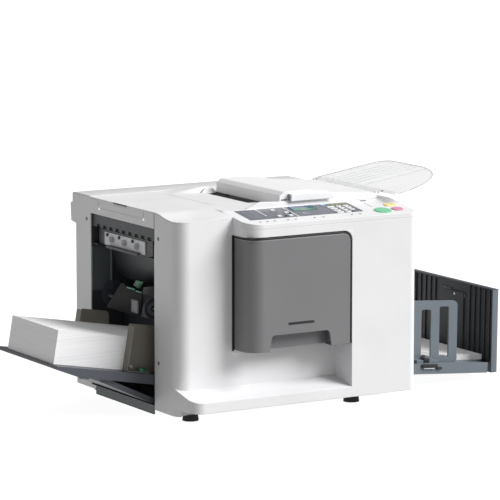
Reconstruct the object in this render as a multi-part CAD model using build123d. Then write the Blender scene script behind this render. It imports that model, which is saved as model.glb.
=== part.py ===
from build123d import *
import math
import os

# Desktop digital duplicator with a paper feed tray, a delivery tray, a front drum door,
# a lifting master cover and a hinged document scanner lid. Millimetres.
# Machine frame used while modelling: X from the feed side (0) to the delivery side,
# Y from the front plane (0) to the back, Z up from the floor. At export the whole object is
# moved so that the origin is the middle of its box, on the floor.

# Casing
BODY_WIDTH = 662.0
BODY_DEPTH = 644.0
TOP_HEIGHT = 520.0
WALL = 3.0
SKIRT_HEIGHT = 15.0
BASE_FRONT_HEIGHT = 36.0
SIDE_SEAM_Y = 202.0
SEAM = 0.3
FRONT_WALL_Y = 80.0
FRONT_LEFT_RADIUS = 35.0
FRONT_RIGHT_RADIUS = 24.0
FRONT_LEFT_DROP = 13.0
DROP_BACK_Y = 200.0
DROP_BLEND_START = 70.0
EDGE_RADIUS = 2.5
REAR_LOWER_INSET = 19.0
REAR_BUMP_REACH = 12.0
REAR_BUMP_LOW_DROP = 75.0
REAR_BUMP_HIGH_DROP = 28.0
REAR_VENT_COUNT = 12
REAR_VENT_PITCH = 14.0
REAR_VENT_WIDTH = 6.0
REAR_VENT_HEIGHT = 70.0
REAR_VENT_X = 110.0
REAR_VENT_Z = 250.0

# Front shelf and drum door bay
SHELF_FRONT_HEIGHT = 63.0
SHELF_SLOPE = 0.225
SHELF_LEFT_RADIUS = 32.0
BAY_LEFT_X = 158.0
BAY_RIGHT_X = 462.0
BAY_CURVE_RADIUS = 45.0
BAY_CORNER_RADIUS = 22.0
HEADER_DROP = 54.0
DRUM_PORT_MARGIN = 27.0
DRUM_PORT_LOW = 200.0
DRUM_PORT_DROP = 18.0

# Drum door
DOOR_GAP_LEFT = 2.0
DOOR_GAP_RIGHT = 4.0
DOOR_GAP_TOP = 2.5
DOOR_GAP_BACK = 4.0
DOOR_LOW_Z = 175.0
DOOR_DEPTH = 30.0
DOOR_WALL = 3.0
DOOR_HANDLE_LEFT = 218.0
DOOR_HANDLE_WIDTH = 183.0
DOOR_HANDLE_HEIGHT = 41.0
DOOR_HANDLE_TAPER = 7.0
DOOR_HANDLE_RADIUS = 10.0
POCKET_MARGIN = 5.0
POCKET_WALL = 2.0
POCKET_HEIGHT = 46.0
POCKET_LIFT = 8.0
DOOR_PIN_RADIUS = 3.0
DOOR_PIN_INSET = 7.0
DOOR_BOSS_RADIUS = 6.5
DOOR_BOSS_HEIGHT = 16.0
DOOR_LUG_HEIGHT = 7.0
RUNNING_FIT = 0.05

# Control panel
PANEL_FRONT_DROP = 21.3
PANEL_SLOPE = 0.155
PANEL_DEPTH = 138.0
PANEL_SLAB = 12.0
PANEL_RIDGE_LEFT = 212.0
PANEL_RIDGE_PEAK = 266.0
PANEL_RIDGE_RIGHT = 566.0
PANEL_RIDGE_HEIGHT = 15.8
PANEL_RIDGE_WIDTH = 8.0
PANEL_RIDGE_SETBACK = 1.0
OVERLAY_LEFT = 187.0
OVERLAY_RIGHT_ROOM = 139.0
OVERLAY_FRONT = 42.0
OVERLAY_LENGTH = 86.0
OVERLAY_DEPTH = 1.6
OVERLAY_RADIUS = 3.0
DISPLAY_ROOM = 182.0
DISPLAY_WIDTH = 74.0
DISPLAY_FRONT = 88.0
DISPLAY_LENGTH = 37.0
DISPLAY_DEPTH = 3.0
KEY_FIT = 0.3
KEY_PROUD = 2.2
KEY_DEPTH = 8.0
KEY_BEVEL = 0.6
KEY_CORNER_RADIUS = 2.5
NUMBER_KEY_WIDTH = 15.0
NUMBER_KEY_LENGTH = 9.5
NUMBER_KEY_ROOM = 64.0
NUMBER_KEY_FRONT = 48.5
NUMBER_KEY_PITCH_X = 20.8
NUMBER_KEY_PITCH_Y = 15.8
NUMBER_KEY_COLUMNS = 3
NUMBER_KEY_ROWS = 4
START_KEY_ROOM = 87.0
START_KEY_Y = 34.5
START_KEY_DIAMETER = 44.0
STOP_KEY_ROOM = 41.0
STOP_KEY_Y = 37.5
STOP_KEY_DIAMETER = 30.0
TEST_KEY_ROOM = 40.0
TEST_KEY_Y = 74.0
TEST_KEY_WIDTH = 31.0
TEST_KEY_LENGTH = 19.0

# Feed side opening, master cover and disposal box
FEED_PORT_BACK_ROOM = 101.0
FEED_PORT_LOW = 25.0
FEED_PORT_DROP = 42.0
PORT_FLANGE = 12.0
SCREW_HEAD_RADIUS = 3.8
SCREW_SHANK_RADIUS = 1.9
SCREW_LENGTH = 9.0
SCREW_SINK = 0.6
SCREW_HEAD_HEIGHT = 1.4
SCREW_FIT = 0.2
SCREW_SEAM_INSET = 21.0
SCREW_LOW_Z = 138.0
SCREW_HIGH_DROP = 65.0
SCREW_BACK_ROOM = 78.0
SCREW_BACK_DROP = 60.0
MASTER_COVER_FRONT_ROOM = 55.5
MASTER_COVER_BACK_ROOM = 43.0
MASTER_COVER_REACH = 195.0
MASTER_SKIRT_DROP = 23.0
MASTER_GRIP_LENGTH = 72.0
MASTER_HINGE_GAP = 1.5
MASTER_PIN_RADIUS = 2.5
MASTER_PIN_DROP = 7.0
MASTER_EAR_WIDTH = 10.0
MASTER_EAR_INSET = 6.0
MASTER_ROLL_X = 105.0
MASTER_ROLL_DROP = 46.0
MASTER_ROLL_RADIUS = 29.0
MASTER_ROLL_END_ROOM = 39.5
CORE_RADIUS = 8.0
CHEEK_BACK_X = 150.0
CHEEK_LOW_Z = 60.0
ROOF_FRONT_X = 6.0
ROOF_DEPTH = 22.0
ROOF_HEIGHT = 34.0
ROOF_RIB_COUNT = 9
ROOF_RIB_DROP = 8.0
BOX_FRONT_X = 16.0
BOX_LENGTH = 180.0
BOX_FRONT_ROOM = 36.0
BOX_BACK_ROOM = 17.0
BOX_DROP = 44.0
BOX_HEIGHT = 40.0
BOX_WALL = 2.0
BOX_GRIP_DEPTH = 12.0
BOX_GRIP_INSET = 60.0
RUNNER_WIDTH = 10.0
RUNNER_HEIGHT = 3.0
WALL_TOP_X = 60.0
WALL_FOOT_X = 96.0
WALL_FOOT_Z = 300.0
WALL_BULGE = 8.0
STACK_STOP_X = 98.0
STACK_STOP_HIGH = 214.0

# Rollers, drum and frame
FRAME_LEFT_X = 150.0
FRAME_RIGHT_ROOM = 34.0
FRAME_TOP_ROOM = 30.0
DRUM_Z = 312.0
DRUM_RADIUS = 90.0
DRUM_SHELL = 1.5
DRUM_END_ROOM = 13.5
DRUM_SHAFT_RADIUS = 8.0
DRUM_FLANGE_THICKNESS = 8.0
CLAMP_FLAT_DROP = 4.0
CLAMP_WIDTH = 34.0
CLAMP_HEIGHT = 2.0
CARRIER_RADIUS = 99.0
CARRIER_THICKNESS = 8.0
CARRIER_GRIP_SPAN = 110.0
CARRIER_GRIP_REACH = 46.0
CARRIER_GRIP_SECTION = 12.0
CARTRIDGE_RADIUS = 34.0
CARTRIDGE_LENGTH = 64.0
CARTRIDGE_CAP_LENGTH = 14.0
CARTRIDGE_CAP_INSET = 4.0
PRESSURE_ROLLER_RADIUS = 30.0
PRESSURE_ROLLER_END_ROOM = 20.5
NIP_GAP = 0.3
PICKUP_X = 52.0
PICKUP_Z = 256.0
PICKUP_RADIUS = 28.0
PICKUP_WIDTH = 144.0
PICKUP_SHAFT_RADIUS = 4.0
PICKUP_TYRE = 8.0
PICKUP_RECESS = 4.0
PATH_TABLE_Z = 216.0
PATH_TABLE_THICKNESS = 2.0
PAD_THICKNESS = 4.0
PAD_WIDTH = 60.0
PAD_HEIGHT = 42.0
SHROUD_WIDTH = 110.0
SHROUD_THICKNESS = 14.0
MOTOR_RADIUS = 34.0
MOTOR_LENGTH = 58.0
MOTOR_RIGHT_ROOM = 148.0
MOTOR_Z = 150.0

# Scanner and its lid
SCANNER_LEFT = 318.0
SCANNER_RIGHT_ROOM = 28.0
SCANNER_FRONT_GAP = 3.0
SCANNER_BACK_ROOM = 168.0
SCANNER_RIM = 18.0
SCANNER_DEPTH = 24.0
SCANNER_SINK = 6.0
SLOT_LEFT_REACH = 25.0
SLOT_FRONT_INSET = 94.0
SLOT_BACK_INSET = 21.0
SLOT_FLOOR_OVERLAP = 5.0
HOOD_WIDTH = 33.0
HOOD_RAMP = 91.0
HOOD_GAP = 1.0
HOOD_HEIGHT = 12.5
HOOD_FRONT_GAP = 3.0
HOOD_FRONT_RUN = 27.0
HOOD_RIDGE = 8.0
HOOD_BACK_RUN = 94.0
GLASS_THICKNESS = 3.0
LID_LEFT = 330.0
LID_RIGHT_INSET = 8.0
LID_FRONT_OVERHANG = 1.5
LID_BACK_INSET = 17.0
LID_LIFT = 0.4
LID_SIDE_HEIGHT = 26.0
LID_CROWN_HEIGHT = 36.0
LID_CROWN_RISE = 0.5
LID_SHOULDER_WIDTH = 14.0
LID_CROWN_WIDTH = 80.0
LID_BEND_WIDTH = 132.0
LID_BEND_DROP = 4.0
LID_FALL_WIDTH = 163.0
LID_FALL_DROP = 12.0
LID_RIGHT_HEIGHT = 14.0
LID_WALL = 3.0
LID_BLOCK_LEFT = 356.0
LID_BLOCK_WIDTH = 128.0
LID_BLOCK_REACH = 16.0
LID_BLOCK_LIFT = 12.5
LID_BLOCK_HEIGHT = 18.5
LID_PIVOT_INSET = 10.0
LID_PIVOT_LIFT = 1.0
LID_PIN_RADIUS = 3.0
LID_EAR_RADIUS = 5.5
LID_EAR_WIDTH = 12.0
LID_HINGE_INSET = 30.0
TRAY_PIVOT_GAP = 5.0
TRAY_PIVOT_LIFT = 2.0
TRAY_PIN_RADIUS = 2.0
TRAY_ROLL_RADIUS = 3.0
TRAY_LUG_WIDTH = 8.0
TRAY_NOTCH = 9.0
TRAY_SLOPE = 8.7
TRAY_SHEET = 2.5
TRAY_LENGTH = 234.0
TRAY_FRONT = 70.0
TRAY_BACK_OVERHANG = 6.0
TRAY_CORNER_RADIUS = 40.0
TRAY_NOSE_LENGTH = 212.0

# Feed tray, laid out level and then tilted about the casing's side
FEED_TILT = 9.9
FEED_PIVOT_Z = 105.0
FEED_REACH = 278.0
FEED_INNER_REACH = 88.0
FEED_PORT_GAP = 3.0
FEED_DEPTH = 25.0
FEED_TIP_DEPTH = 9.0
FEED_TIP_LENGTH = 66.0
FEED_WALL = 3.0
SUPPORT_TOP_X = 150.0
SUPPORT_TOP_Z = 100.0
SUPPORT_FOOT_X = 5.0
SUPPORT_FOOT_Z = 27.0
SUPPORT_THICKNESS = 14.0
STACK_LENGTH = 353.0
STACK_SIDE_ROOM = 39.5
STACK_HEIGHT = 86.0
STACK_END = 269.0
REST_GAP = 0.3
GUIDE_PLATE = 3.0
GUIDE_HEIGHT = 120.0
GUIDE_LEFT = 72.0
GUIDE_FOOT_RIGHT = 34.0
GUIDE_TOP_RIGHT = 8.0
GUIDE_LIP = 26.0
GUIDE_FOOT_THICKNESS = 3.0
LOCK_HUB_RADIUS = 9.0
LOCK_HUB_HEIGHT = 7.0
LOCK_X = 26.0
LOCK_ARM_LENGTH = 22.0
LOCK_ARM_WIDTH = 6.0
LOCK_PIN_RADIUS = 3.0
PRESSURE_LEVER_X = 52.0
PRESSURE_LEVER_OFFSET = 13.5
PRESSURE_LEVER_Z = 304.0
PRESSURE_LEVER_WIDTH = 30.0
PRESSURE_LEVER_HEIGHT = 14.0
PRESSURE_LEVER_DEPTH = 8.0
PRESSURE_PIN_RADIUS = 3.0

# Delivery side, laid out level and then tilted about the casing's side
DELIVERY_TILT = 4.4
UPRIGHT_TURN = 3.6
DELIVERY_PIVOT_Z = 73.5
DELIVERY_FRONT_REACH = 37.0
DELIVERY_BACK_ROOM = 65.0
DELIVERY_REACH = 338.0
DELIVERY_DEPTH = 28.0
DELIVERY_RIM = 2.0
DELIVERY_WALL = 3.0
DELIVERY_PORT_LOW = 92.0
DELIVERY_PORT_HIGH = 262.0
SHEET_LENGTH = 210.0
SHEET_SIDE_ROOM = 18.5
SHEET_PILE = 14.0
SIDE_PLATE_X = 118.0
SIDE_PLATE_LENGTH = 142.0
SIDE_PLATE_HEIGHT = 165.0
SIDE_PLATE_THICKNESS = 5.0
SIDE_PLATE_INSET = 40.0
SIDE_PLATE_RADIUS = 8.0
SIDE_PLATE_CORNER = 15.0
SIDE_WINDOW_MARGIN = 27.0
SIDE_WINDOW_LOW = 14.0
SIDE_WINDOW_HIGH = 24.0
SIDE_FOOT_LENGTH = 66.0
SIDE_FOOT_WIDTH = 22.0
SIDE_FOOT_HEIGHT = 9.0
STOPPER_X = 350.0
STOPPER_DEPTH = 19.0
STOPPER_HEIGHT = 225.0
STOPPER_WALL = 5.0
STOPPER_RIB = 3.0
STOPPER_RIB_COUNT = 16
STOPPER_TONGUE_LENGTH = 60.0
STOPPER_TONGUE_WIDTH = 30.0
STOPPER_TONGUE_THICKNESS = 5.0
STOPPER_TONGUE_SPACING = 200.0

# Underside and electrics
PAN_THICKNESS = 2.0
PAN_FLANGE = 16.0
PAN_LIFT = 1.0
FOOT_RADIUS = 21.0
FOOT_TOP_RADIUS = 19.0
FOOT_LEFT_X = 51.0
FOOT_RIGHT_ROOM = 132.0
FOOT_FRONT_Y = 109.0
FOOT_BACK_ROOM = 64.0
INLET_RIGHT_ROOM = 95.0
INLET_Z = 60.0
INLET_WIDTH = 30.0
INLET_HEIGHT = 24.0
INLET_DEPTH = 22.0
SWITCH_BACK_ROOM = 54.0
SWITCH_Z = 330.0
SWITCH_WIDTH = 22.0
SWITCH_HEIGHT = 32.0
SWITCH_TILT = 12.0
SWITCH_EAR = 3.0
SWITCH_PIN_RADIUS = 2.0

# Places worked out from the sizes above
PANEL_FRONT_Z = TOP_HEIGHT - PANEL_FRONT_DROP
HEADER_Z = TOP_HEIGHT - HEADER_DROP
DRUM_PORT_HIGH = HEADER_Z - DRUM_PORT_DROP
FEED_PORT_HIGH = TOP_HEIGHT - FEED_PORT_DROP
ROOF_LOW_Z = FEED_PORT_HIGH - ROOF_HEIGHT
BOX_LOW_Z = ROOF_LOW_Z - BOX_DROP
REAR_BUMP_LOW = TOP_HEIGHT - REAR_BUMP_LOW_DROP
REAR_BUMP_HIGH = TOP_HEIGHT - REAR_BUMP_HIGH_DROP
MASTER_SKIRT_Z = TOP_HEIGHT - MASTER_SKIRT_DROP
MASTER_ROLL_Z = TOP_HEIGHT - MASTER_ROLL_DROP
LID_SIDE_TOP = TOP_HEIGHT + LID_SIDE_HEIGHT
LID_CROWN = TOP_HEIGHT + LID_CROWN_HEIGHT
LID_RIGHT_TOP = TOP_HEIGHT + LID_RIGHT_HEIGHT
LID_BLOCK_LOW = TOP_HEIGHT + LID_BLOCK_LIFT
LID_BLOCK_HIGH = LID_BLOCK_LOW + LID_BLOCK_HEIGHT
LID_PIVOT_Z = TOP_HEIGHT + LID_PIVOT_LIFT
TRAY_PIVOT_Z = LID_RIGHT_TOP + TRAY_PIVOT_LIFT
SCREW_HIGH_Z = TOP_HEIGHT - SCREW_HIGH_DROP
SCREW_BACK_Z = TOP_HEIGHT - SCREW_BACK_DROP
FRAME_HIGH_Z = TOP_HEIGHT - FRAME_TOP_ROOM
FEED_PORT_BACK_Y = BODY_DEPTH - FEED_PORT_BACK_ROOM
SWITCH_Y = BODY_DEPTH - SWITCH_BACK_ROOM
FOOT_BACK_Y = BODY_DEPTH - FOOT_BACK_ROOM
FOOT_RIGHT_X = BODY_WIDTH - FOOT_RIGHT_ROOM
INLET_X = BODY_WIDTH - INLET_RIGHT_ROOM
FRAME_RIGHT_X = BODY_WIDTH - FRAME_RIGHT_ROOM
MOTOR_X = FRAME_RIGHT_X - MOTOR_RIGHT_ROOM
START_KEY_X = BODY_WIDTH - START_KEY_ROOM
STOP_KEY_X = BODY_WIDTH - STOP_KEY_ROOM
TEST_KEY_X = BODY_WIDTH - TEST_KEY_ROOM
OVERLAY_RIGHT = BODY_WIDTH - OVERLAY_RIGHT_ROOM
OVERLAY_WIDTH = OVERLAY_RIGHT - OVERLAY_LEFT
NUMBER_KEY_LEFT = OVERLAY_RIGHT - NUMBER_KEY_ROOM
DISPLAY_LEFT = OVERLAY_RIGHT - DISPLAY_ROOM
SCANNER_FRONT = PANEL_DEPTH + SCANNER_FRONT_GAP
SCANNER_RIGHT = BODY_WIDTH - SCANNER_RIGHT_ROOM
SCANNER_BACK = BODY_DEPTH - SCANNER_BACK_ROOM
LID_FRONT = SCANNER_FRONT - LID_FRONT_OVERHANG
LID_RIGHT = SCANNER_RIGHT - LID_RIGHT_INSET
LID_BACK = SCANNER_BACK - LID_BACK_INSET
LID_PIVOT_Y = SCANNER_BACK - LID_PIVOT_INSET
TRAY_PIVOT_X = LID_RIGHT + TRAY_PIVOT_GAP
TRAY_BACK = LID_BACK + TRAY_BACK_OVERHANG
SLOT_LEFT = SCANNER_LEFT - SLOT_LEFT_REACH
SLOT_FRONT = SCANNER_FRONT + SLOT_FRONT_INSET
SLOT_BACK = SCANNER_BACK - SLOT_BACK_INSET
PORT_SPAN = FEED_PORT_BACK_Y - SIDE_SEAM_Y
FEED_FRONT = SIDE_SEAM_Y + FEED_PORT_GAP
FEED_BACK = FEED_PORT_BACK_Y - FEED_PORT_GAP
STACK_WIDTH = FEED_BACK - FEED_FRONT - 2 * STACK_SIDE_ROOM
DRUM_WIDTH = PORT_SPAN - 2 * DRUM_END_ROOM
PRESSURE_ROLLER_WIDTH = PORT_SPAN - 2 * PRESSURE_ROLLER_END_ROOM
MASTER_ROLL_WIDTH = PORT_SPAN - 2 * MASTER_ROLL_END_ROOM
MASTER_COVER_FRONT = SIDE_SEAM_Y + MASTER_COVER_FRONT_ROOM
MASTER_COVER_BACK = FEED_PORT_BACK_Y - MASTER_COVER_BACK_ROOM
BOX_FRONT_Y = SIDE_SEAM_Y + BOX_FRONT_ROOM
BOX_WIDTH = FEED_PORT_BACK_Y - BOX_BACK_ROOM - BOX_FRONT_Y
PRESSURE_LEVER_Y = (FEED_FRONT + FEED_BACK) / 2 + PRESSURE_LEVER_OFFSET
DELIVERY_FRONT = SIDE_SEAM_Y - DELIVERY_FRONT_REACH
DELIVERY_BACK = BODY_DEPTH - DELIVERY_BACK_ROOM
SIDE_PLATE_INNER_Y = DELIVERY_FRONT + SIDE_PLATE_INSET
SHEET_WIDTH = DELIVERY_FRONT + DELIVERY_BACK - 2 * SIDE_PLATE_INNER_Y - 2 * SHEET_SIDE_ROOM
SCREW_SEAM_Y = SIDE_SEAM_Y - SCREW_SEAM_INSET
SCREW_PLACES = (
    (SCREW_SEAM_Y, SCREW_LOW_Z),
    (SCREW_SEAM_Y, SCREW_HIGH_Z),
    (BODY_DEPTH - SCREW_BACK_ROOM, SCREW_BACK_Z),
)
DOOR_LEFT = BAY_LEFT_X + DOOR_GAP_LEFT
DOOR_RIGHT = BAY_RIGHT_X - DOOR_GAP_RIGHT
DOOR_HIGH = HEADER_Z - DOOR_GAP_TOP
DOOR_BACK = FRONT_WALL_Y - DOOR_GAP_BACK
DRUM_X = (DOOR_LEFT + DOOR_RIGHT) / 2
DOOR_PIN_X = DOOR_LEFT + DOOR_PIN_INSET
DOOR_PIN_Y = DOOR_BACK - DOOR_PIN_INSET
CHEEK_FRONT_Y = SIDE_SEAM_Y - WALL
CHEEK_REAR_Y = FEED_PORT_BACK_Y
CHEEK_REAR_END = CHEEK_REAR_Y + WALL
PAN_LOW = SKIRT_HEIGHT + PAN_LIFT
PAN_TOP = PAN_LOW + PAN_THICKNESS
DRUM_FRONT = (SIDE_SEAM_Y + FEED_PORT_BACK_Y - DRUM_WIDTH) / 2
DRUM_BACK = DRUM_FRONT + DRUM_WIDTH
PRESSURE_Z = DRUM_Z - DRUM_RADIUS - PRESSURE_ROLLER_RADIUS - NIP_GAP
FEED_CENTRE_Y = (FEED_FRONT + FEED_BACK) / 2
DELIVERY_CENTRE_Y = (DELIVERY_FRONT + DELIVERY_BACK) / 2
STACK_FRONT = FEED_CENTRE_Y - STACK_WIDTH / 2
MASTER_PIN_Z = TOP_HEIGHT - MASTER_PIN_DROP
MASTER_PIN_X = MASTER_COVER_REACH - 2 * MASTER_PIN_DROP
DRUM_PORT_LEFT = BAY_LEFT_X + DRUM_PORT_MARGIN
DRUM_PORT_RIGHT = BAY_RIGHT_X - DRUM_PORT_MARGIN
STOPPER_INNER_X = BODY_WIDTH + STOPPER_X
STOPPER_FACE_X = STOPPER_INNER_X + STOPPER_DEPTH - STOPPER_WALL - STOPPER_RIB
PANEL_ANGLE = math.degrees(math.atan(PANEL_SLOPE))
BIG = 60.0


def block(x0, x1, y0, y1, z0, z1):
    """Box between two corners."""
    return Pos((x0 + x1) / 2, (y0 + y1) / 2, (z0 + z1) / 2) * Box(x1 - x0, y1 - y0, z1 - z0)


def rounded_face(corners):
    """Flat face on corners given as (a, b, radius)."""
    face = Polygon(*[(a, b) for a, b, _ in corners], align=None)
    for a, b, radius in corners:
        if radius > 0:
            corner = face.vertices().sort_by_distance((a, b, 0))[0]
            face = fillet(corner, radius)
    return face


def prism_z(corners, z0, z1):
    """Upright prism on a plan outline of (x, y, radius)."""
    return extrude(Plane.XY.offset(z0) * rounded_face(corners), z1 - z0, dir=(0, 0, 1))


def prism_y(corners, y0, y1):
    """Prism from front to back on an outline of (x, z, radius)."""
    plane = Plane(origin=(0, y0, 0), x_dir=(1, 0, 0), z_dir=(0, -1, 0))
    return extrude(plane * rounded_face(corners), y1 - y0, dir=(0, 1, 0))


def prism_x(corners, x0, x1):
    """Prism from left to right on an outline of (y, z, radius)."""
    plane = Plane(origin=(x0, 0, 0), x_dir=(0, 1, 0), z_dir=(1, 0, 0))
    return extrude(plane * rounded_face(corners), x1 - x0, dir=(1, 0, 0))


def rod_x(y, z, radius, x0, x1):
    """Cylinder along X."""
    return Pos((x0 + x1) / 2, y, z) * Rot(0, 90, 0) * Cylinder(radius, x1 - x0)


def rod_y(x, z, radius, y0, y1):
    """Cylinder along Y."""
    return Pos(x, (y0 + y1) / 2, z) * Rot(90, 0, 0) * Cylinder(radius, y1 - y0)


def rod_z(x, y, radius, z0, z1):
    """Cylinder along Z."""
    return Pos(x, y, (z0 + z1) / 2) * Cylinder(radius, z1 - z0)


def feed_tilt(shape):
    """Tilts a piece of the feed tray that was drawn level."""
    pivot = Pos(0, 0, FEED_PIVOT_Z)
    return pivot * Rot(0, FEED_TILT, 0) * pivot.inverse() * shape


def delivery_tilt(shape):
    """Tilts a piece of the delivery tray that was drawn level."""
    pivot = Pos(BODY_WIDTH, 0, DELIVERY_PIVOT_Z)
    return pivot * Rot(0, DELIVERY_TILT, 0) * pivot.inverse() * shape


def upright_shift(height):
    """How far a tall delivery piece leans back towards plumb at a height above its foot."""
    return height * math.tan(math.radians(UPRIGHT_TURN))


def mirror_about(shape, centre_y):
    """The same piece on the other side of a centre plane."""
    return mirror(shape, about=Plane(origin=(0, centre_y, 0), z_dir=(0, 1, 0)))


def panel_plane():
    """Sloping plane of the control panel, its origin on the front edge."""
    angle = math.radians(PANEL_ANGLE)
    normal = (0, -math.sin(angle), math.cos(angle))
    return Plane(origin=(0, 0, PANEL_FRONT_Z), x_dir=(1, 0, 0), z_dir=normal)


def panel_length(y):
    """Distance up the slope of the panel for a horizontal distance from the front."""
    return y / math.cos(math.radians(PANEL_ANGLE))


def above_panel(sink):
    """All that lies above the panel's sloping face lowered by sink."""
    low = PANEL_FRONT_Z - sink
    outline = [
        (-BIG, low - BIG * PANEL_SLOPE, 0),
        (PANEL_DEPTH, low + PANEL_DEPTH * PANEL_SLOPE, 0),
        (PANEL_DEPTH, TOP_HEIGHT + BIG, 0),
        (-BIG, TOP_HEIGHT + BIG, 0),
    ]
    return prism_x(outline, BAY_LEFT_X, BODY_WIDTH + BIG)


def drop_face(x, front_z, blend, sink):
    """YZ face above the top surface; blend 0 gives the low front-left form, 1 the panel side's."""
    top = TOP_HEIGHT - sink
    start = front_z - sink
    rise = top - start
    span = DROP_BACK_Y - FRONT_WALL_Y
    low_share, high_share = 0.03 + 0.52 * blend, 0.46 + 0.47 * blend
    back = BODY_DEPTH + BIG
    first_slope = PANEL_SLOPE * blend
    with BuildSketch(Plane(origin=(x, 0, 0), x_dir=(0, 1, 0), z_dir=(1, 0, 0))) as sketch:
        with BuildLine():
            Spline(
                (FRONT_WALL_Y, start),
                (FRONT_WALL_Y + 0.25 * span, start + low_share * rise),
                (FRONT_WALL_Y + 0.62 * span, start + high_share * rise),
                (DROP_BACK_Y, top),
                tangents=((1, first_slope), (1, 0)),
            )
            Line((DROP_BACK_Y, top), (back, top))
            Line((back, top), (back, top + BIG))
            Line((back, top + BIG), (FRONT_WALL_Y, top + BIG))
            Line((FRONT_WALL_Y, top + BIG), (FRONT_WALL_Y, start))
        make_face()
    return sketch.sketch


def above_top(sink):
    """All that lies above the top cover's surface lowered by sink, left of the panel and behind it."""
    low_z = TOP_HEIGHT - FRONT_LEFT_DROP
    panel_z = PANEL_FRONT_Z + PANEL_SLOPE * FRONT_WALL_Y
    left = extrude(drop_face(-BIG, low_z, 0, sink), DROP_BLEND_START + BIG, dir=(1, 0, 0))
    blend = loft([drop_face(DROP_BLEND_START, low_z, 0, sink), drop_face(BAY_LEFT_X, panel_z, 1, sink)])
    low = TOP_HEIGHT - sink
    right = block(BAY_LEFT_X, BODY_WIDTH + BIG, PANEL_DEPTH, BODY_DEPTH + BIG, low, low + BIG)
    return left + blend + right


def below_shelf(sink):
    """All that lies below the sloping shelf's top lowered by sink."""
    low = SHELF_FRONT_HEIGHT - sink
    outline = [
        (-BIG, low - BIG * SHELF_SLOPE, 0),
        (SIDE_SEAM_Y + BIG, low + (SIDE_SEAM_Y + BIG) * SHELF_SLOPE, 0),
        (SIDE_SEAM_Y + BIG, -BIG, 0),
        (-BIG, -BIG, 0),
    ]
    return prism_x(outline, -BIG, BODY_WIDTH + BIG)


def side_profile(inset):
    """Side view outline of the casing's back, set in by inset, open towards the front."""
    back_low = BODY_DEPTH - REAR_LOWER_INSET - inset
    bump = BODY_DEPTH + REAR_BUMP_REACH - inset
    low = REAR_BUMP_LOW + inset
    high = REAR_BUMP_HIGH - inset
    return [
        (back_low, SKIRT_HEIGHT, 0),
        (back_low, low - 4, 0),
        (bump - 4, low, 2),
        (bump, high, 2),
        (BODY_DEPTH - inset, high + 5, 0),
        (BODY_DEPTH - inset, TOP_HEIGHT - WALL, 0),
    ]


def bulge_plan(inset, right_x, back_y):
    """Plan of the rounded bulge that carries the door and the panel."""
    return [
        (BAY_LEFT_X + inset, back_y, 0),
        (BAY_LEFT_X + inset, inset, BAY_CURVE_RADIUS - inset),
        (right_x, inset, 0),
        (right_x, back_y, 0),
    ]


def front_solid(inset, back_y, low_z):
    """Outer form of the front cover set in by inset, before the top is trimmed."""
    left = [
        (inset, back_y, 0),
        (inset, FRONT_WALL_Y + inset, FRONT_LEFT_RADIUS - inset),
        (BODY_WIDTH - inset, FRONT_WALL_Y + inset, 0),
        (BODY_WIDTH - inset, back_y, 0),
    ]
    right = [
        (BAY_RIGHT_X + inset, inset, 0),
        (BODY_WIDTH - inset, inset, FRONT_RIGHT_RADIUS - inset),
        (BODY_WIDTH - inset, back_y, 0),
        (BAY_RIGHT_X + inset, back_y, 0),
    ]
    shelf = [
        (inset, back_y, 0),
        (inset, inset, SHELF_LEFT_RADIUS - inset),
        (BAY_RIGHT_X + BIG, inset, 0),
        (BAY_RIGHT_X + BIG, back_y, 0),
    ]
    high = TOP_HEIGHT + BIG / 2
    base_low = BASE_FRONT_HEIGHT + inset
    solid = prism_z(left, low_z, high) + prism_z(right, base_low, high)
    solid += prism_z(shelf, base_low, SHELF_FRONT_HEIGHT + BIG) & below_shelf(inset)
    return solid + prism_z(bulge_plan(inset, BAY_RIGHT_X + 2 * inset, FRONT_WALL_Y + 2 * inset + 1),
                           HEADER_Z + inset, high)


def bay_corner():
    """Rounded top right corner of the door opening."""
    size = BAY_CORNER_RADIUS
    corner = block(BAY_RIGHT_X - size, BAY_RIGHT_X, 0, WALL, HEADER_Z - size, HEADER_Z)
    return corner - rod_y(BAY_RIGHT_X - size, HEADER_Z - size, size, -1, WALL + 1)


def front_cover():
    """Moulded front: shelf, recessed wall with the drum port, header and right-hand front."""
    outer = front_solid(0, SIDE_SEAM_Y, SKIRT_HEIGHT)
    inner = front_solid(WALL, SIDE_SEAM_Y + BIG, -BIG)
    cover = outer - inner + bay_corner()
    cover -= block(DRUM_PORT_LEFT, DRUM_PORT_RIGHT, FRONT_WALL_Y - 1, FRONT_WALL_Y + WALL + 1,
                   DRUM_PORT_LOW, DRUM_PORT_HIGH)
    notch_y = FRONT_WALL_Y + WALL + 5
    notch = [
        (-BIG, -BIG, 0),
        (notch_y + 8, -BIG, 0),
        (notch_y, BASE_FRONT_HEIGHT, 0),
        (-BIG, BASE_FRONT_HEIGHT, 0),
    ]
    cover -= prism_x(notch, -BIG, BODY_WIDTH + BIG)
    cover = cover - above_top(WALL) - above_panel(PANEL_SLAB)
    lug = block(DOOR_LEFT, DOOR_PIN_X + DOOR_PIN_INSET, DOOR_PIN_Y - DOOR_PIN_INSET, FRONT_WALL_Y,
                DOOR_LOW_Z - REST_GAP - DOOR_LUG_HEIGHT, DOOR_LOW_Z - REST_GAP)
    cover += lug
    cover -= door_pin_holes()
    cover -= screw_holes(SCREW_PLACES[:2])
    return cover


def door_pin_holes():
    """Holes in the lug and the header that hold the door's pins."""
    lug_low = DOOR_LOW_Z - REST_GAP - DOOR_LUG_HEIGHT
    low = rod_z(DOOR_PIN_X, DOOR_PIN_Y, DOOR_PIN_RADIUS, lug_low, DOOR_LOW_Z)
    high = rod_z(DOOR_PIN_X, DOOR_PIN_Y, DOOR_PIN_RADIUS, DOOR_HIGH, HEADER_Z + WALL)
    return low + high


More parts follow.
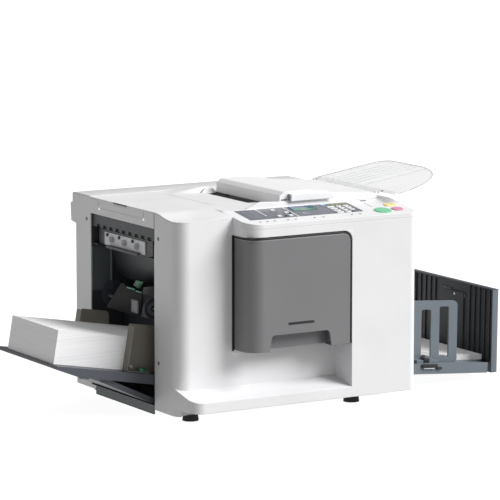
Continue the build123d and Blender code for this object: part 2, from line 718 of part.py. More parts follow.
def door_hinge_pins():
    """Lower and upper pins of the drum door."""
    low = rod_z(DOOR_PIN_X, DOOR_PIN_Y, DOOR_PIN_RADIUS, DOOR_LOW_Z - REST_GAP - DOOR_LUG_HEIGHT,
                DOOR_LOW_Z + DOOR_BOSS_HEIGHT - 2)
    high = rod_z(DOOR_PIN_X, DOOR_PIN_Y, DOOR_PIN_RADIUS, DOOR_HIGH - DOOR_BOSS_HEIGHT + 2, HEADER_Z + WALL)
    return [low, high]


def door_plan(inset):
    """Plan of the door: a curved left return and a shallower front plate."""
    back_left = DOOR_BACK
    return [
        (DOOR_LEFT + inset, back_left + 2 * inset, 0),
        (DOOR_LEFT + inset, inset, BAY_CURVE_RADIUS - DOOR_GAP_LEFT - inset),
        (DOOR_RIGHT - inset, inset, 2),
        (DOOR_RIGHT - inset, DOOR_DEPTH + 2 * inset, 0),
        (DOOR_LEFT + BAY_CURVE_RADIUS - inset, DOOR_DEPTH + 2 * inset, 12),
        (DOOR_LEFT + 2 * DOOR_PIN_INSET - inset, back_left + 2 * inset, 0),
    ]


def handle_outline():
    """Cut-out at the foot of the door, as (x, z, radius)."""
    left, right = DOOR_HANDLE_LEFT, DOOR_HANDLE_LEFT + DOOR_HANDLE_WIDTH
    top = DOOR_LOW_Z + DOOR_HANDLE_HEIGHT
    return [
        (left, DOOR_LOW_Z - 1, 0),
        (left + DOOR_HANDLE_TAPER, top, DOOR_HANDLE_RADIUS),
        (right - DOOR_HANDLE_TAPER, top, DOOR_HANDLE_RADIUS),
        (right, DOOR_LOW_Z - 1, 0),
    ]


def front_door():
    """Drum door: a hollow moulding with a curved left side and a handle cut-out."""
    door = prism_z(door_plan(0), DOOR_LOW_Z, DOOR_HIGH)
    door -= prism_z(door_plan(DOOR_WALL), DOOR_LOW_Z + DOOR_WALL, DOOR_HIGH - DOOR_WALL)
    corner_x, corner_z = DOOR_RIGHT - BAY_CORNER_RADIUS, DOOR_HIGH - BAY_CORNER_RADIUS
    corner = block(corner_x, DOOR_RIGHT + 1, -1, DOOR_DEPTH + 1, corner_z, DOOR_HIGH + 1)
    door -= corner - rod_y(corner_x, corner_z, BAY_CORNER_RADIUS, -2, DOOR_DEPTH + 2)
    rim = rod_y(corner_x, corner_z, BAY_CORNER_RADIUS, 0, DOOR_DEPTH)
    rim -= rod_y(corner_x, corner_z, BAY_CORNER_RADIUS - DOOR_WALL, -1, DOOR_DEPTH + 1)
    door += rim & block(corner_x, DOOR_RIGHT + 1, 0, DOOR_DEPTH, corner_z, DOOR_HIGH + 1)
    for z0 in (DOOR_LOW_Z, DOOR_HIGH - DOOR_BOSS_HEIGHT):
        door += rod_z(DOOR_PIN_X, DOOR_PIN_Y, DOOR_BOSS_RADIUS, z0, z0 + DOOR_BOSS_HEIGHT)
    door -= rod_z(DOOR_PIN_X, DOOR_PIN_Y, DOOR_PIN_RADIUS + RUNNING_FIT, DOOR_LOW_Z - 1, DOOR_HIGH + 1)
    door -= prism_y(handle_outline(), -1, DOOR_DEPTH + 1)
    return door


def door_handle_pocket():
    """Finger pocket behind the cut-out, open to the front and the bottom."""
    left = DOOR_HANDLE_LEFT - POCKET_MARGIN
    right = DOOR_HANDLE_LEFT + DOOR_HANDLE_WIDTH + POCKET_MARGIN
    low, high = DOOR_LOW_Z + DOOR_WALL + REST_GAP, DOOR_LOW_Z + POCKET_HEIGHT
    pocket = block(left, right, DOOR_WALL, DOOR_DEPTH - 2, low, high)
    hollow = block(left + POCKET_WALL, right - POCKET_WALL, DOOR_WALL - 1, DOOR_DEPTH - 2 - POCKET_WALL,
                   low - 1, high - POCKET_WALL)
    slot = block(left - 1, right + 1, DOOR_WALL - 1, DOOR_DEPTH - 2 - POCKET_LIFT, low - 1, low + 1)
    return pocket - hollow - slot


def top_plan():
    """Plan of the top cover: everything but the panel."""
    left = [
        (0, BODY_DEPTH, 0),
        (0, FRONT_WALL_Y, FRONT_LEFT_RADIUS),
        (BAY_LEFT_X, FRONT_WALL_Y, 0),
        (BAY_LEFT_X, BODY_DEPTH, 0),
    ]
    low, high = TOP_HEIGHT - FRONT_LEFT_DROP - BIG, TOP_HEIGHT + BIG
    return prism_z(left, low, high) + block(BAY_LEFT_X, BODY_WIDTH, PANEL_DEPTH, BODY_DEPTH, low, high)


def top_cover():
    """Moulded top skin that drops at the front left, with the scanner and master openings."""
    skin = top_plan() & (above_top(WALL) - above_top(0))
    skin -= block(SCANNER_LEFT, SCANNER_RIGHT, SCANNER_FRONT, SCANNER_BACK,
                  TOP_HEIGHT - BIG, TOP_HEIGHT + BIG)
    skin -= block(SLOT_LEFT, SCANNER_LEFT + 1, SLOT_FRONT, SLOT_BACK, TOP_HEIGHT - BIG, TOP_HEIGHT + BIG)
    skin -= block(-1, MASTER_COVER_REACH, MASTER_COVER_FRONT - SEAM, MASTER_COVER_BACK + SEAM,
                  TOP_HEIGHT - BIG, TOP_HEIGHT + BIG)
    ears = master_ear_places()
    spans = (
        (MASTER_COVER_FRONT - MASTER_EAR_WIDTH, MASTER_COVER_FRONT - 1, ears[0] + MASTER_EAR_WIDTH),
        (MASTER_COVER_BACK + MASTER_EAR_WIDTH, MASTER_COVER_BACK + 1, ears[1]),
    )
    for outer, inner, pin_end in spans:
        skin += block(MASTER_PIN_X - 6, MASTER_PIN_X + 6, min(outer, inner), max(outer, inner),
                      MASTER_PIN_Z - 5, TOP_HEIGHT - WALL)
        near, far = min(outer, pin_end), max(outer, pin_end)
        skin += rod_y(MASTER_PIN_X, MASTER_PIN_Z, MASTER_PIN_RADIUS, near, far)
    return skin + hinge_hood()


def hood_section(x, rise):
    """YZ section of the hood at x, its ridge rise above the top surface."""
    front = SLOT_BACK + HOOD_FRONT_GAP
    ridge = front + HOOD_FRONT_RUN
    foot = TOP_HEIGHT - WALL / 2
    corners = [
        (front, foot, 0),
        (ridge, TOP_HEIGHT + rise, 0),
        (ridge + HOOD_RIDGE, TOP_HEIGHT + rise, 0),
        (ridge + HOOD_RIDGE + HOOD_BACK_RUN, foot, 0),
    ]
    plane = Plane(origin=(x, 0, 0), x_dir=(0, 1, 0), z_dir=(1, 0, 0))
    return plane * rounded_face(corners)


def hinge_hood():
    """Raised hood of the top cover beside the lid's back end, rising out of the surface from the left."""
    right = LID_LEFT - HOOD_GAP
    left = right - HOOD_WIDTH
    low, full = hood_section(left - HOOD_RAMP, -0.4), hood_section(left, HOOD_HEIGHT)
    return loft([low, full]) + extrude(full, HOOD_WIDTH, dir=(1, 0, 0))


def screw_holes(places):
    """Sunk holes for the side screws, at (y, z) places."""
    holes = []
    for y, z in places:
        head = rod_x(y, z, SCREW_HEAD_RADIUS + SCREW_FIT, -1, SCREW_SINK + SCREW_HEAD_HEIGHT)
        holes.append(head + rod_x(y, z, SCREW_SHANK_RADIUS + SCREW_FIT, 0, WALL + 1))
    return Compound(children=holes)


def cover_screws():
    """Side cover screws with a cross slot."""
    screws = []
    for y, z in SCREW_PLACES:
        head_end = SCREW_SINK + SCREW_HEAD_HEIGHT
        screw = rod_x(y, z, SCREW_HEAD_RADIUS, SCREW_SINK, head_end)
        screw += rod_x(y, z, SCREW_SHANK_RADIUS, SCREW_SINK, SCREW_LENGTH)
        reach, half = SCREW_HEAD_RADIUS * 0.6, 0.5
        screw -= block(0, SCREW_SINK + 0.8, y - reach, y + reach, z - half, z + half)
        screw -= block(0, SCREW_SINK + 0.8, y - half, y + half, z - reach, z + reach)
        screws.append(screw)
    return screws


def side_plate(x0, x1):
    """Side wall behind the front cover's seam, on the casing's side profile."""
    outline = [(SIDE_SEAM_Y, SKIRT_HEIGHT, 0)] + side_profile(0) + [(SIDE_SEAM_Y, TOP_HEIGHT - WALL, 0)]
    return prism_x(outline, x0, x1)


def feed_side_cover():
    """Left side cover: back pillar, strip over the feed opening and a low rail."""
    cover = side_plate(0, WALL)
    cover -= block(-1, WALL + 1, SIDE_SEAM_Y - 1, FEED_PORT_BACK_Y, FEED_PORT_LOW, FEED_PORT_HIGH)
    cover -= block(-1, WALL + 1, MASTER_COVER_FRONT - SEAM, MASTER_COVER_BACK + SEAM,
                   MASTER_SKIRT_Z - SEAM, TOP_HEIGHT)
    flange_z = FEED_PORT_HIGH
    cover += block(WALL, WALL + 2, SIDE_SEAM_Y, FEED_PORT_BACK_Y, flange_z, flange_z + WALL)
    return cover - screw_holes(SCREW_PLACES[2:])


def exit_side_cover():
    """Right side cover with the delivery opening and the power switch hole."""
    cover = side_plate(BODY_WIDTH - WALL, BODY_WIDTH)
    margin = WALL
    outline = [
        (SIDE_SEAM_Y + margin, DELIVERY_PORT_LOW, 6),
        (FEED_PORT_BACK_Y + margin, DELIVERY_PORT_LOW, 6),
        (FEED_PORT_BACK_Y + margin, DELIVERY_PORT_HIGH, 6),
        (SIDE_SEAM_Y + margin, DELIVERY_PORT_HIGH, 6),
    ]
    cover -= prism_x(outline, BODY_WIDTH - BIG, BODY_WIDTH + 1)
    hood = prism_x(outline, BODY_WIDTH - WALL - PORT_FLANGE, BODY_WIDTH - WALL)
    grown = [(a + (-WALL if i in (0, 3) else WALL), b + (-WALL if i < 2 else WALL), r + WALL)
             for i, (a, b, r) in enumerate(outline)]
    frame = prism_x(grown, BODY_WIDTH - WALL - PORT_FLANGE, BODY_WIDTH - WALL) - hood
    cover += frame
    fit = KEY_FIT
    cover -= block(BODY_WIDTH - WALL - 1, BODY_WIDTH + 1, SWITCH_Y - SWITCH_WIDTH / 2 - fit,
                   SWITCH_Y + SWITCH_WIDTH / 2 + fit, SWITCH_Z - SWITCH_HEIGHT / 2 - fit,
                   SWITCH_Z + SWITCH_HEIGHT / 2 + fit)
    pivot_x = switch_pivot()[0]
    for side in (-1, 1):
        near = SWITCH_Y + side * (SWITCH_WIDTH / 2 + fit)
        far = near + side * SWITCH_EAR
        ear = block(pivot_x - 6, BODY_WIDTH - WALL, min(near, far), max(near, far),
                    SWITCH_Z - 6, SWITCH_Z + 6)
        bore = SWITCH_PIN_RADIUS + RUNNING_FIT
        cover += ear - rod_y(pivot_x, SWITCH_Z, bore, min(near, far) - 1, max(near, far) + 1)
    return cover


def rear_cover():
    """Back shell with the overhanging duct, a louvred vent and the inlet hole."""
    front = BODY_DEPTH - REAR_LOWER_INSET - WALL - BIG
    outer = [(front, SKIRT_HEIGHT, 0)] + side_profile(0) + [(front, TOP_HEIGHT - WALL, 0)]
    inner_profile = side_profile(WALL)
    low_y, high_y = inner_profile[0][0], inner_profile[-1][0]
    inner = [(front - 1, -BIG, 0), (low_y, -BIG, 0)] + inner_profile[1:-1]
    inner += [(high_y, TOP_HEIGHT + BIG, 0), (front - 1, TOP_HEIGHT + BIG, 0)]
    cover = prism_x(outer, WALL, BODY_WIDTH - WALL) - prism_x(inner, -BIG, BODY_WIDTH + BIG)
    back = BODY_DEPTH - REAR_LOWER_INSET
    for i in range(REAR_VENT_COUNT):
        x = REAR_VENT_X + i * REAR_VENT_PITCH
        half = REAR_VENT_WIDTH / 2
        cover -= block(x - half, x + half, back - WALL - 1, back + 1,
                       REAR_VENT_Z, REAR_VENT_Z + REAR_VENT_HEIGHT)
    cover -= block(INLET_X - INLET_WIDTH / 2, INLET_X + INLET_WIDTH / 2, back - WALL - 1, back + 1,
                   INLET_Z - INLET_HEIGHT / 2, INLET_Z + INLET_HEIGHT / 2)
    return cover


def power_inlet():
    """Appliance inlet with three pins in the back cover."""
    back = BODY_DEPTH - REAR_LOWER_INSET
    half_w, half_h = INLET_WIDTH / 2, INLET_HEIGHT / 2
    body = block(INLET_X - half_w, INLET_X + half_w, back - INLET_DEPTH, back,
                 INLET_Z - half_h, INLET_Z + half_h)
    body += block(INLET_X - half_w - 3, INLET_X + half_w + 3, back, back + 1.5,
                  INLET_Z - half_h - 3, INLET_Z + half_h + 3)
    cavity = [
        (INLET_X - half_w + 3, INLET_Z - half_h + 3, 1),
        (INLET_X + half_w - 3, INLET_Z - half_h + 3, 1),
        (INLET_X + half_w - 3, INLET_Z + half_h - 7, 1),
        (INLET_X + half_w - 7, INLET_Z + half_h - 3, 1),
        (INLET_X - half_w + 7, INLET_Z + half_h - 3, 1),
        (INLET_X - half_w + 3, INLET_Z + half_h - 7, 1),
    ]
    body -= prism_y(cavity, back - INLET_DEPTH + WALL, back + 2)
    for dx, dz in ((-7, -2), (7, -2), (0, 3)):
        body += block(INLET_X + dx - 1, INLET_X + dx + 1, back - INLET_DEPTH + WALL, back - 2,
                      INLET_Z + dz - 2, INLET_Z + dz + 2)
    return body


def power_switch():
    """Rocker with a shallow vee face, on a pin across it."""
    y, z = SWITCH_Y, SWITCH_Z
    half_w, half_h = SWITCH_WIDTH / 2, SWITCH_HEIGHT / 2
    rise = half_h * math.tan(math.radians(SWITCH_TILT))
    pivot_x = switch_pivot()[0]
    outline = [
        (BODY_WIDTH - WALL - 8, z - half_h + 5, 2),
        (BODY_WIDTH, z - half_h, 0.8),
        (BODY_WIDTH - rise + 1.0, z, 0),
        (BODY_WIDTH + 1.0, z + half_h - 2, 0.8),
        (BODY_WIDTH - WALL - 8, z + half_h - 5, 2),
    ]
    rocker = prism_y(outline, y - half_w, y + half_w)
    reach = half_w + SWITCH_EAR
    return rocker + rod_y(pivot_x, z, SWITCH_PIN_RADIUS, y - reach, y + reach)


def switch_pivot():
    """Pivot of the rocker."""
    return (BODY_WIDTH - WALL - 4, SWITCH_Y, SWITCH_Z)


def base_pan():
    """Folded base pan inside the skirt."""
    plan = [
        (WALL, BODY_DEPTH - REAR_LOWER_INSET - WALL, 0),
        (WALL, FRONT_WALL_Y + WALL, FRONT_LEFT_RADIUS - WALL),
        (BODY_WIDTH - WALL, FRONT_WALL_Y + WALL, 0),
        (BODY_WIDTH - WALL, BODY_DEPTH - REAR_LOWER_INSET - WALL, 0),
    ]
    front = FRONT_WALL_Y + WALL + 14
    pan = prism_z(plan, PAN_LOW, PAN_TOP + PAN_FLANGE)
    pan &= block(0, BODY_WIDTH, front, BODY_DEPTH, 0, TOP_HEIGHT)
    inner = block(WALL + PAN_THICKNESS + 16, BODY_WIDTH - WALL - PAN_THICKNESS, front + PAN_THICKNESS,
                  BODY_DEPTH - REAR_LOWER_INSET - WALL - PAN_THICKNESS, PAN_TOP, TOP_HEIGHT)
    side_gap = block(0, WALL + 16, front, BODY_DEPTH, PAN_TOP, TOP_HEIGHT)
    return pan - inner - side_gap


def rubber_feet():
    """Four tapered rubber feet under the pan."""
    outline = [
        (0, 0, 0),
        (FOOT_RADIUS, 0, 0),
        (FOOT_TOP_RADIUS, PAN_LOW, 0),
        (0, PAN_LOW, 0),
    ]
    foot = revolve(Plane.XZ * rounded_face(outline), Axis.Z)
    feet = []
    for x in (FOOT_LEFT_X, FOOT_RIGHT_X):
        for y in (FOOT_FRONT_Y, FOOT_BACK_Y):
            feet.append(Pos(x, y, 0) * foot)
    return feet


def panel_housing():
    """White panel moulding with the overlay's recess and the wells of the keys."""
    plan = [
        (BAY_LEFT_X, PANEL_DEPTH, 0),
        (BAY_LEFT_X, 0, BAY_CURVE_RADIUS),
        (BODY_WIDTH, 0, FRONT_RIGHT_RADIUS),
        (BODY_WIDTH, PANEL_DEPTH, 0),
    ]
    housing = prism_z(plan, PANEL_FRONT_Z - BIG, TOP_HEIGHT + BIG)
    housing &= above_panel(PANEL_SLAB) - above_panel(0)
    housing += panel_ridge()
    slope = panel_plane()
    housing -= extrude(slope * overlay_face(), -OVERLAY_DEPTH)
    housing -= extrude(slope * display_face(0), -DISPLAY_DEPTH)
    for face in key_faces().values():
        housing -= extrude(slope * grown_key(face), PANEL_SLAB + 2, both=True)
    return housing


def panel_ridge():
    """Low swell along the panel's back edge, highest in front of the lid's left corner."""
    foot = TOP_HEIGHT - PANEL_SLAB / 2
    back = PANEL_DEPTH - PANEL_RIDGE_SETBACK
    front = back - PANEL_RIDGE_WIDTH
    top = TOP_HEIGHT + PANEL_RIDGE_HEIGHT
    ridge = prism_y([
        (PANEL_RIDGE_LEFT, foot, 0),
        (PANEL_RIDGE_PEAK, top, 40),
        (PANEL_RIDGE_RIGHT, TOP_HEIGHT - 0.4, 0),
        (PANEL_RIDGE_RIGHT, foot, 0),
    ], front, back)
    lean = PANEL_RIDGE_WIDTH / 2
    return ridge - prism_x([
        (front, foot - 1, 0),
        (front + lean, top + 1, 0),
        (front - BIG, top + 1, 0),
        (front - BIG, foot - 1, 0),
    ], PANEL_RIDGE_LEFT - 1, PANEL_RIDGE_RIGHT + 1)


def overlay_face():
    """Outline of the dark overlay, in the panel's plane."""
    x, y = OVERLAY_LEFT + OVERLAY_WIDTH / 2, panel_length(OVERLAY_FRONT + OVERLAY_LENGTH / 2)
    return Pos(x, y) * RectangleRounded(OVERLAY_WIDTH, OVERLAY_LENGTH, OVERLAY_RADIUS)


def display_face(fit):
    """Outline of the display window, in the panel's plane."""
    x, y = DISPLAY_LEFT + DISPLAY_WIDTH / 2, panel_length(DISPLAY_FRONT + DISPLAY_LENGTH / 2)
    return Pos(x, y) * Rectangle(DISPLAY_WIDTH - 2 * fit, DISPLAY_LENGTH - 2 * fit)


def panel_overlay():
    """Dark key overlay, cut for the keys and the display."""
    slope = panel_plane()
    overlay = extrude(slope * overlay_face(), -OVERLAY_DEPTH)
    overlay -= extrude(slope * display_face(0), -DISPLAY_DEPTH)
    for name, face in key_faces().items():
        if name.startswith("number"):
            overlay -= extrude(slope * grown_key(face), PANEL_SLAB, both=True)
    return overlay


def display_window():
    """Display lens, flush in the overlay."""
    return extrude(panel_plane() * display_face(0), -DISPLAY_DEPTH)


def key_face(x, y, width, length):
    """Rounded outline of one key at a place on the panel: (centre x, centre y, width, length)."""
    return (x, panel_length(y), width, length)


def key_outline(face, grow):
    """Sketch of a key outline grown by a clearance."""
    x, y, width, length = face
    w, h = width + 2 * grow, length + 2 * grow
    if abs(width - length) < 0.01:
        return Pos(x, y) * Circle(w / 2)
    radius = KEY_CORNER_RADIUS + grow
    points = []
    for quarter, (side_x, side_y) in enumerate(((1, 1), (-1, 1), (-1, -1), (1, -1))):
        for step in (0, 45, 90):
            angle = math.radians(90 * quarter + step)
            centre_x, centre_y = side_x * (w / 2 - radius), side_y * (h / 2 - radius)
            points.append((centre_x + radius * math.cos(angle), centre_y + radius * math.sin(angle)))
    return Pos(x, y) * Polygon(*points, align=None)


def grown_key(face):
    """Outline of a key's well."""
    return key_outline(face, KEY_FIT)


def number_key_names():
    """Names of the number pad's keys, front row first."""
    rows = (("star", "0", "clear"), ("7", "8", "9"), ("4", "5", "6"), ("1", "2", "3"))
    return [["number_key_" + label for label in row] for row in rows]


def key_faces():
    """Every key that travels, by name."""
    faces = {}
    for row, names in enumerate(number_key_names()[:NUMBER_KEY_ROWS]):
        for column, name in enumerate(names[:NUMBER_KEY_COLUMNS]):
            x = NUMBER_KEY_LEFT + column * NUMBER_KEY_PITCH_X
            y = NUMBER_KEY_FRONT + row * NUMBER_KEY_PITCH_Y
            faces[name] = key_face(x, y, NUMBER_KEY_WIDTH, NUMBER_KEY_LENGTH)
    faces["start_key"] = key_face(START_KEY_X, START_KEY_Y, START_KEY_DIAMETER, START_KEY_DIAMETER)
    faces["stop_key"] = key_face(STOP_KEY_X, STOP_KEY_Y, STOP_KEY_DIAMETER, STOP_KEY_DIAMETER)
    faces["test_key"] = key_face(TEST_KEY_X, TEST_KEY_Y, TEST_KEY_WIDTH, TEST_KEY_LENGTH)
    return faces


def key_cap(face):
    """Key cap standing a little proud of the panel, its rim bevelled."""
    slope = panel_plane()
    cap = extrude(slope * key_outline(face, 0), KEY_PROUD)
    cap += extrude(slope * key_outline(face, 0), -KEY_DEPTH)
    top = cap.faces().sort_by(Axis.Z)[-1]
    return chamfer(top.edges(), KEY_BEVEL)


def frame_plates():
    """Front and back frame plates with the shaft bores, and the paper table between them."""
    plates = []
    for y0 in (CHEEK_FRONT_Y, CHEEK_REAR_Y):
        plate = block(FRAME_LEFT_X, FRAME_RIGHT_X, y0, y0 + WALL, PAN_TOP, FRAME_HIGH_Z)
        bore = DRUM_SHAFT_RADIUS + RUNNING_FIT
        plate -= rod_y(DRUM_X, PRESSURE_Z, bore, y0 - 1, y0 + WALL + 1)
        port = CARRIER_RADIUS if y0 == CHEEK_FRONT_Y else bore
        plate -= rod_y(DRUM_X, DRUM_Z, port, y0 - 1, y0 + WALL + 1)
        plates.append(plate)
    nip = PRESSURE_ROLLER_RADIUS + 8
    front, back = CHEEK_FRONT_Y + WALL, CHEEK_REAR_Y
    low, high = PATH_TABLE_Z - PATH_TABLE_THICKNESS, PATH_TABLE_Z
    plates.append(block(FRAME_LEFT_X, DRUM_X - nip, front, back, low, high))
    plates.append(block(DRUM_X + nip, FRAME_RIGHT_X, front, back, low, high))
    return plates


def curved_wall():
    """Bulging wall below the disposal box, with its foot turned inwards."""
    front, back = CHEEK_FRONT_Y + WALL, CHEEK_REAR_Y
    top_z = BOX_LOW_Z - RUNNER_HEIGHT
    middle = ((WALL_TOP_X + WALL_FOOT_X) / 2 - WALL_BULGE, (top_z + WALL_FOOT_Z) / 2 - WALL_BULGE)
    plane = Plane(origin=(0, front, 0), x_dir=(1, 0, 0), z_dir=(0, -1, 0))
    with BuildSketch(plane) as sketch:
        with BuildLine():
            outer = ThreePointArc((WALL_TOP_X, top_z), middle, (WALL_FOOT_X, WALL_FOOT_Z))
            Line(outer @ 1, (CHEEK_BACK_X, WALL_FOOT_Z))
            Line((CHEEK_BACK_X, WALL_FOOT_Z), (CHEEK_BACK_X, WALL_FOOT_Z + WALL))
            Line((CHEEK_BACK_X, WALL_FOOT_Z + WALL), (WALL_FOOT_X + WALL, WALL_FOOT_Z + WALL))
            inner_middle = (middle[0] + WALL, middle[1] + WALL)
            foot_in, top_in = (WALL_FOOT_X + WALL, WALL_FOOT_Z + WALL), (WALL_TOP_X + WALL, top_z)
            ThreePointArc(foot_in, inner_middle, top_in)
            Line((WALL_TOP_X + WALL, top_z), (WALL_TOP_X, top_z))
        make_face()
    return extrude(sketch.sketch, back - front, dir=(0, 1, 0))


def feed_bay_liner():
    """Dark lining of the feed side: two cheeks, ribbed roof, curved wall, stack stop and runners."""
    front, back = CHEEK_FRONT_Y + WALL, CHEEK_REAR_Y
    liner = None
    for y0 in (CHEEK_FRONT_Y, CHEEK_REAR_Y):
        cheek = prism_y([
            (WALL, CHEEK_LOW_Z, 0),
            (CHEEK_BACK_X, CHEEK_LOW_Z, 0),
            (CHEEK_BACK_X, TOP_HEIGHT - 2 * WALL, 0),
            (WALL, TOP_HEIGHT - 2 * WALL, 0),
        ], y0, y0 + WALL)
        cheek -= rod_y(PICKUP_X, PICKUP_Z, PICKUP_SHAFT_RADIUS + RUNNING_FIT, y0 - 1, y0 + WALL + 1)
        cheek -= rod_y(MASTER_ROLL_X, MASTER_ROLL_Z, CORE_RADIUS + RUNNING_FIT, y0 - 1, y0 + WALL + 1)
        liner = cheek if liner is None else liner + cheek
    roof_back = ROOF_FRONT_X + ROOF_DEPTH
    liner += block(ROOF_FRONT_X, roof_back, front, back, ROOF_LOW_Z, FEED_PORT_HIGH)
    pitch = (back - front) / (ROOF_RIB_COUNT + 1)
    for i in range(1, ROOF_RIB_COUNT + 1):
        y = front + i * pitch
        liner -= block(ROOF_FRONT_X - 1, ROOF_FRONT_X + 5, y - pitch * 0.3, y + pitch * 0.3,
                       ROOF_LOW_Z - 1, ROOF_LOW_Z + ROOF_RIB_DROP)
    liner += curved_wall()
    liner += block(STACK_STOP_X, STACK_STOP_X + WALL, front, back, CHEEK_LOW_Z, STACK_STOP_HIGH)
    runner_low, runner_top = BOX_LOW_Z - RUNNER_HEIGHT, BOX_LOW_Z - REST_GAP
    box_back = BOX_FRONT_Y + BOX_WIDTH
    liner += block(ROOF_FRONT_X, CHEEK_BACK_X, front, BOX_FRONT_Y + RUNNER_WIDTH, runner_low, runner_top)
    liner += block(ROOF_FRONT_X, CHEEK_BACK_X, box_back - RUNNER_WIDTH, back, runner_low, runner_top)
    pin_end = PRESSURE_LEVER_X + PRESSURE_LEVER_DEPTH
    liner += rod_x(PRESSURE_LEVER_Y, PRESSURE_LEVER_Z, PRESSURE_PIN_RADIUS, PRESSURE_LEVER_X, pin_end + 30)
    liner += block(pin_end + REST_GAP, WALL_FOOT_X + 6, PRESSURE_LEVER_Y - 10, PRESSURE_LEVER_Y + 10,
                   WALL_FOOT_Z, PRESSURE_LEVER_Z + 8)
    return liner


def separation_pad():
    """Grey separation pad on its black shroud below the pick-up roller's shaft."""
    front = FEED_CENTRE_Y - PICKUP_WIDTH / 2
    pad_x = STACK_STOP_X
    shroud = prism_x([
        (FEED_CENTRE_Y - SHROUD_WIDTH / 2, STACK_STOP_HIGH, 0),
        (FEED_CENTRE_Y + SHROUD_WIDTH, STACK_STOP_HIGH, 0),
        (FEED_CENTRE_Y + SHROUD_WIDTH / 2, WALL_FOOT_Z, 4),
        (FEED_CENTRE_Y - SHROUD_WIDTH / 2, WALL_FOOT_Z, 4),
    ], pad_x, pad_x + SHROUD_THICKNESS)
    pad = block(pad_x - PAD_THICKNESS, pad_x, front, front + PAD_WIDTH, STACK_STOP_HIGH + 2,
                STACK_STOP_HIGH + 2 + PAD_HEIGHT)
    return [shroud, pad]


def shaft_span():
    """Front and back ends of a shaft carried by both cheeks or frame plates."""
    return CHEEK_FRONT_Y + SEAM, CHEEK_REAR_END - SEAM


def pickup_roller():
    """Rubber pick-up roller on its shaft."""
    half = PICKUP_WIDTH / 2
    roller = rod_y(PICKUP_X, PICKUP_Z, PICKUP_RADIUS, FEED_CENTRE_Y - half, FEED_CENTRE_Y + half)
    for side in (-1, 1):
        end = FEED_CENTRE_Y + side * half
        inner = end - side * PICKUP_RECESS
        roller -= rod_y(PICKUP_X, PICKUP_Z, PICKUP_RADIUS - PICKUP_TYRE, min(end, inner), max(end, inner))
    return roller + rod_y(PICKUP_X, PICKUP_Z, PICKUP_SHAFT_RADIUS, *shaft_span())


def pressure_roller():
    """Pressure roller under the drum, as wide as the sheet."""
    middle = (DRUM_FRONT + DRUM_BACK) / 2
    half = PRESSURE_ROLLER_WIDTH / 2
    roller = rod_y(DRUM_X, PRESSURE_Z, PRESSURE_ROLLER_RADIUS, middle - half, middle + half)
    return roller + rod_y(DRUM_X, PRESSURE_Z, DRUM_SHAFT_RADIUS, *shaft_span())


def drum_screen():
    """Print cylinder: a thin screen with a flat along the top that carries the clamp plate."""
    body = rod_y(DRUM_X, DRUM_Z, DRUM_RADIUS, DRUM_FRONT, DRUM_BACK)
    inside = rod_y(DRUM_X, DRUM_Z, DRUM_RADIUS - DRUM_SHELL, DRUM_FRONT - 1, DRUM_BACK + 1)
    flat_z = DRUM_Z + DRUM_RADIUS - CLAMP_FLAT_DROP
    left, right = DRUM_X - DRUM_RADIUS, DRUM_X + DRUM_RADIUS
    flat = block(left, right, DRUM_FRONT, DRUM_BACK, flat_z - DRUM_SHELL, flat_z) & body
    tube = body - inside - block(left, right, DRUM_FRONT - 1, DRUM_BACK + 1, flat_z, flat_z + BIG)
    half = CLAMP_WIDTH / 2
    plate = block(DRUM_X - half, DRUM_X + half, DRUM_FRONT, DRUM_BACK, flat_z, flat_z + CLAMP_HEIGHT)
    return tube + flat + plate


def drum_flanges():
    """End flanges of the drum with their stub shafts."""
    flanges = []
    radius = DRUM_RADIUS - CLAMP_FLAT_DROP - DRUM_SHELL
    spans = (
        (DRUM_FRONT, CHEEK_FRONT_Y + WALL - CARRIER_THICKNESS / 2, 1),
        (DRUM_BACK, CHEEK_REAR_END - SEAM, -1),
    )
    for face_y, shaft_end, inward in spans:
        inner = face_y + inward * DRUM_FLANGE_THICKNESS
        low, high = min(face_y, inner), max(face_y, inner)
        flange = rod_y(DRUM_X, DRUM_Z, DRUM_RADIUS - DRUM_SHELL, low, high)
        flange -= block(DRUM_X - DRUM_RADIUS, DRUM_X + DRUM_RADIUS, low - 1, high + 1,
                        DRUM_Z + radius, DRUM_Z + DRUM_RADIUS)
        flange += rod_y(DRUM_X, DRUM_Z, DRUM_SHAFT_RADIUS, min(face_y, shaft_end), max(face_y, shaft_end))
        flanges.append(flange)
    return flanges


def drum_carrier():
    """Round plate in the front frame that holds the drum's shaft, with a pull grip."""
    back = CHEEK_FRONT_Y + WALL
    front = back - CARRIER_THICKNESS
    carrier = rod_y(DRUM_X, DRUM_Z, CARRIER_RADIUS, front, back)
    carrier += rod_y(DRUM_X, DRUM_Z, CARRIER_RADIUS + 6, front - WALL, CHEEK_FRONT_Y)
    bore = DRUM_SHAFT_RADIUS + RUNNING_FIT
    carrier -= rod_y(DRUM_X, DRUM_Z, bore, back - CARRIER_THICKNESS / 2 - 0.5, back + 1)
    grip_z = DRUM_Z - CARRIER_RADIUS * 0.72
    half, section = CARRIER_GRIP_SPAN / 2, CARRIER_GRIP_SECTION
    start = front - WALL
    grip = block(DRUM_X - half, DRUM_X + half, start - CARRIER_GRIP_REACH, start,
                 grip_z - section / 2, grip_z + section / 2)
    grip = fillet(grip.edges().filter_by(Axis.Z).sort_by(Axis.Y)[:2], 14)
    hollow = block(DRUM_X - half + section, DRUM_X + half - section, start - CARRIER_GRIP_REACH + section,
                   start + 1, grip_z - section, grip_z + section)
    hollow &= block(-BIG, BODY_WIDTH, start - BIG, start, 0, TOP_HEIGHT)
    return carrier + (grip - hollow)


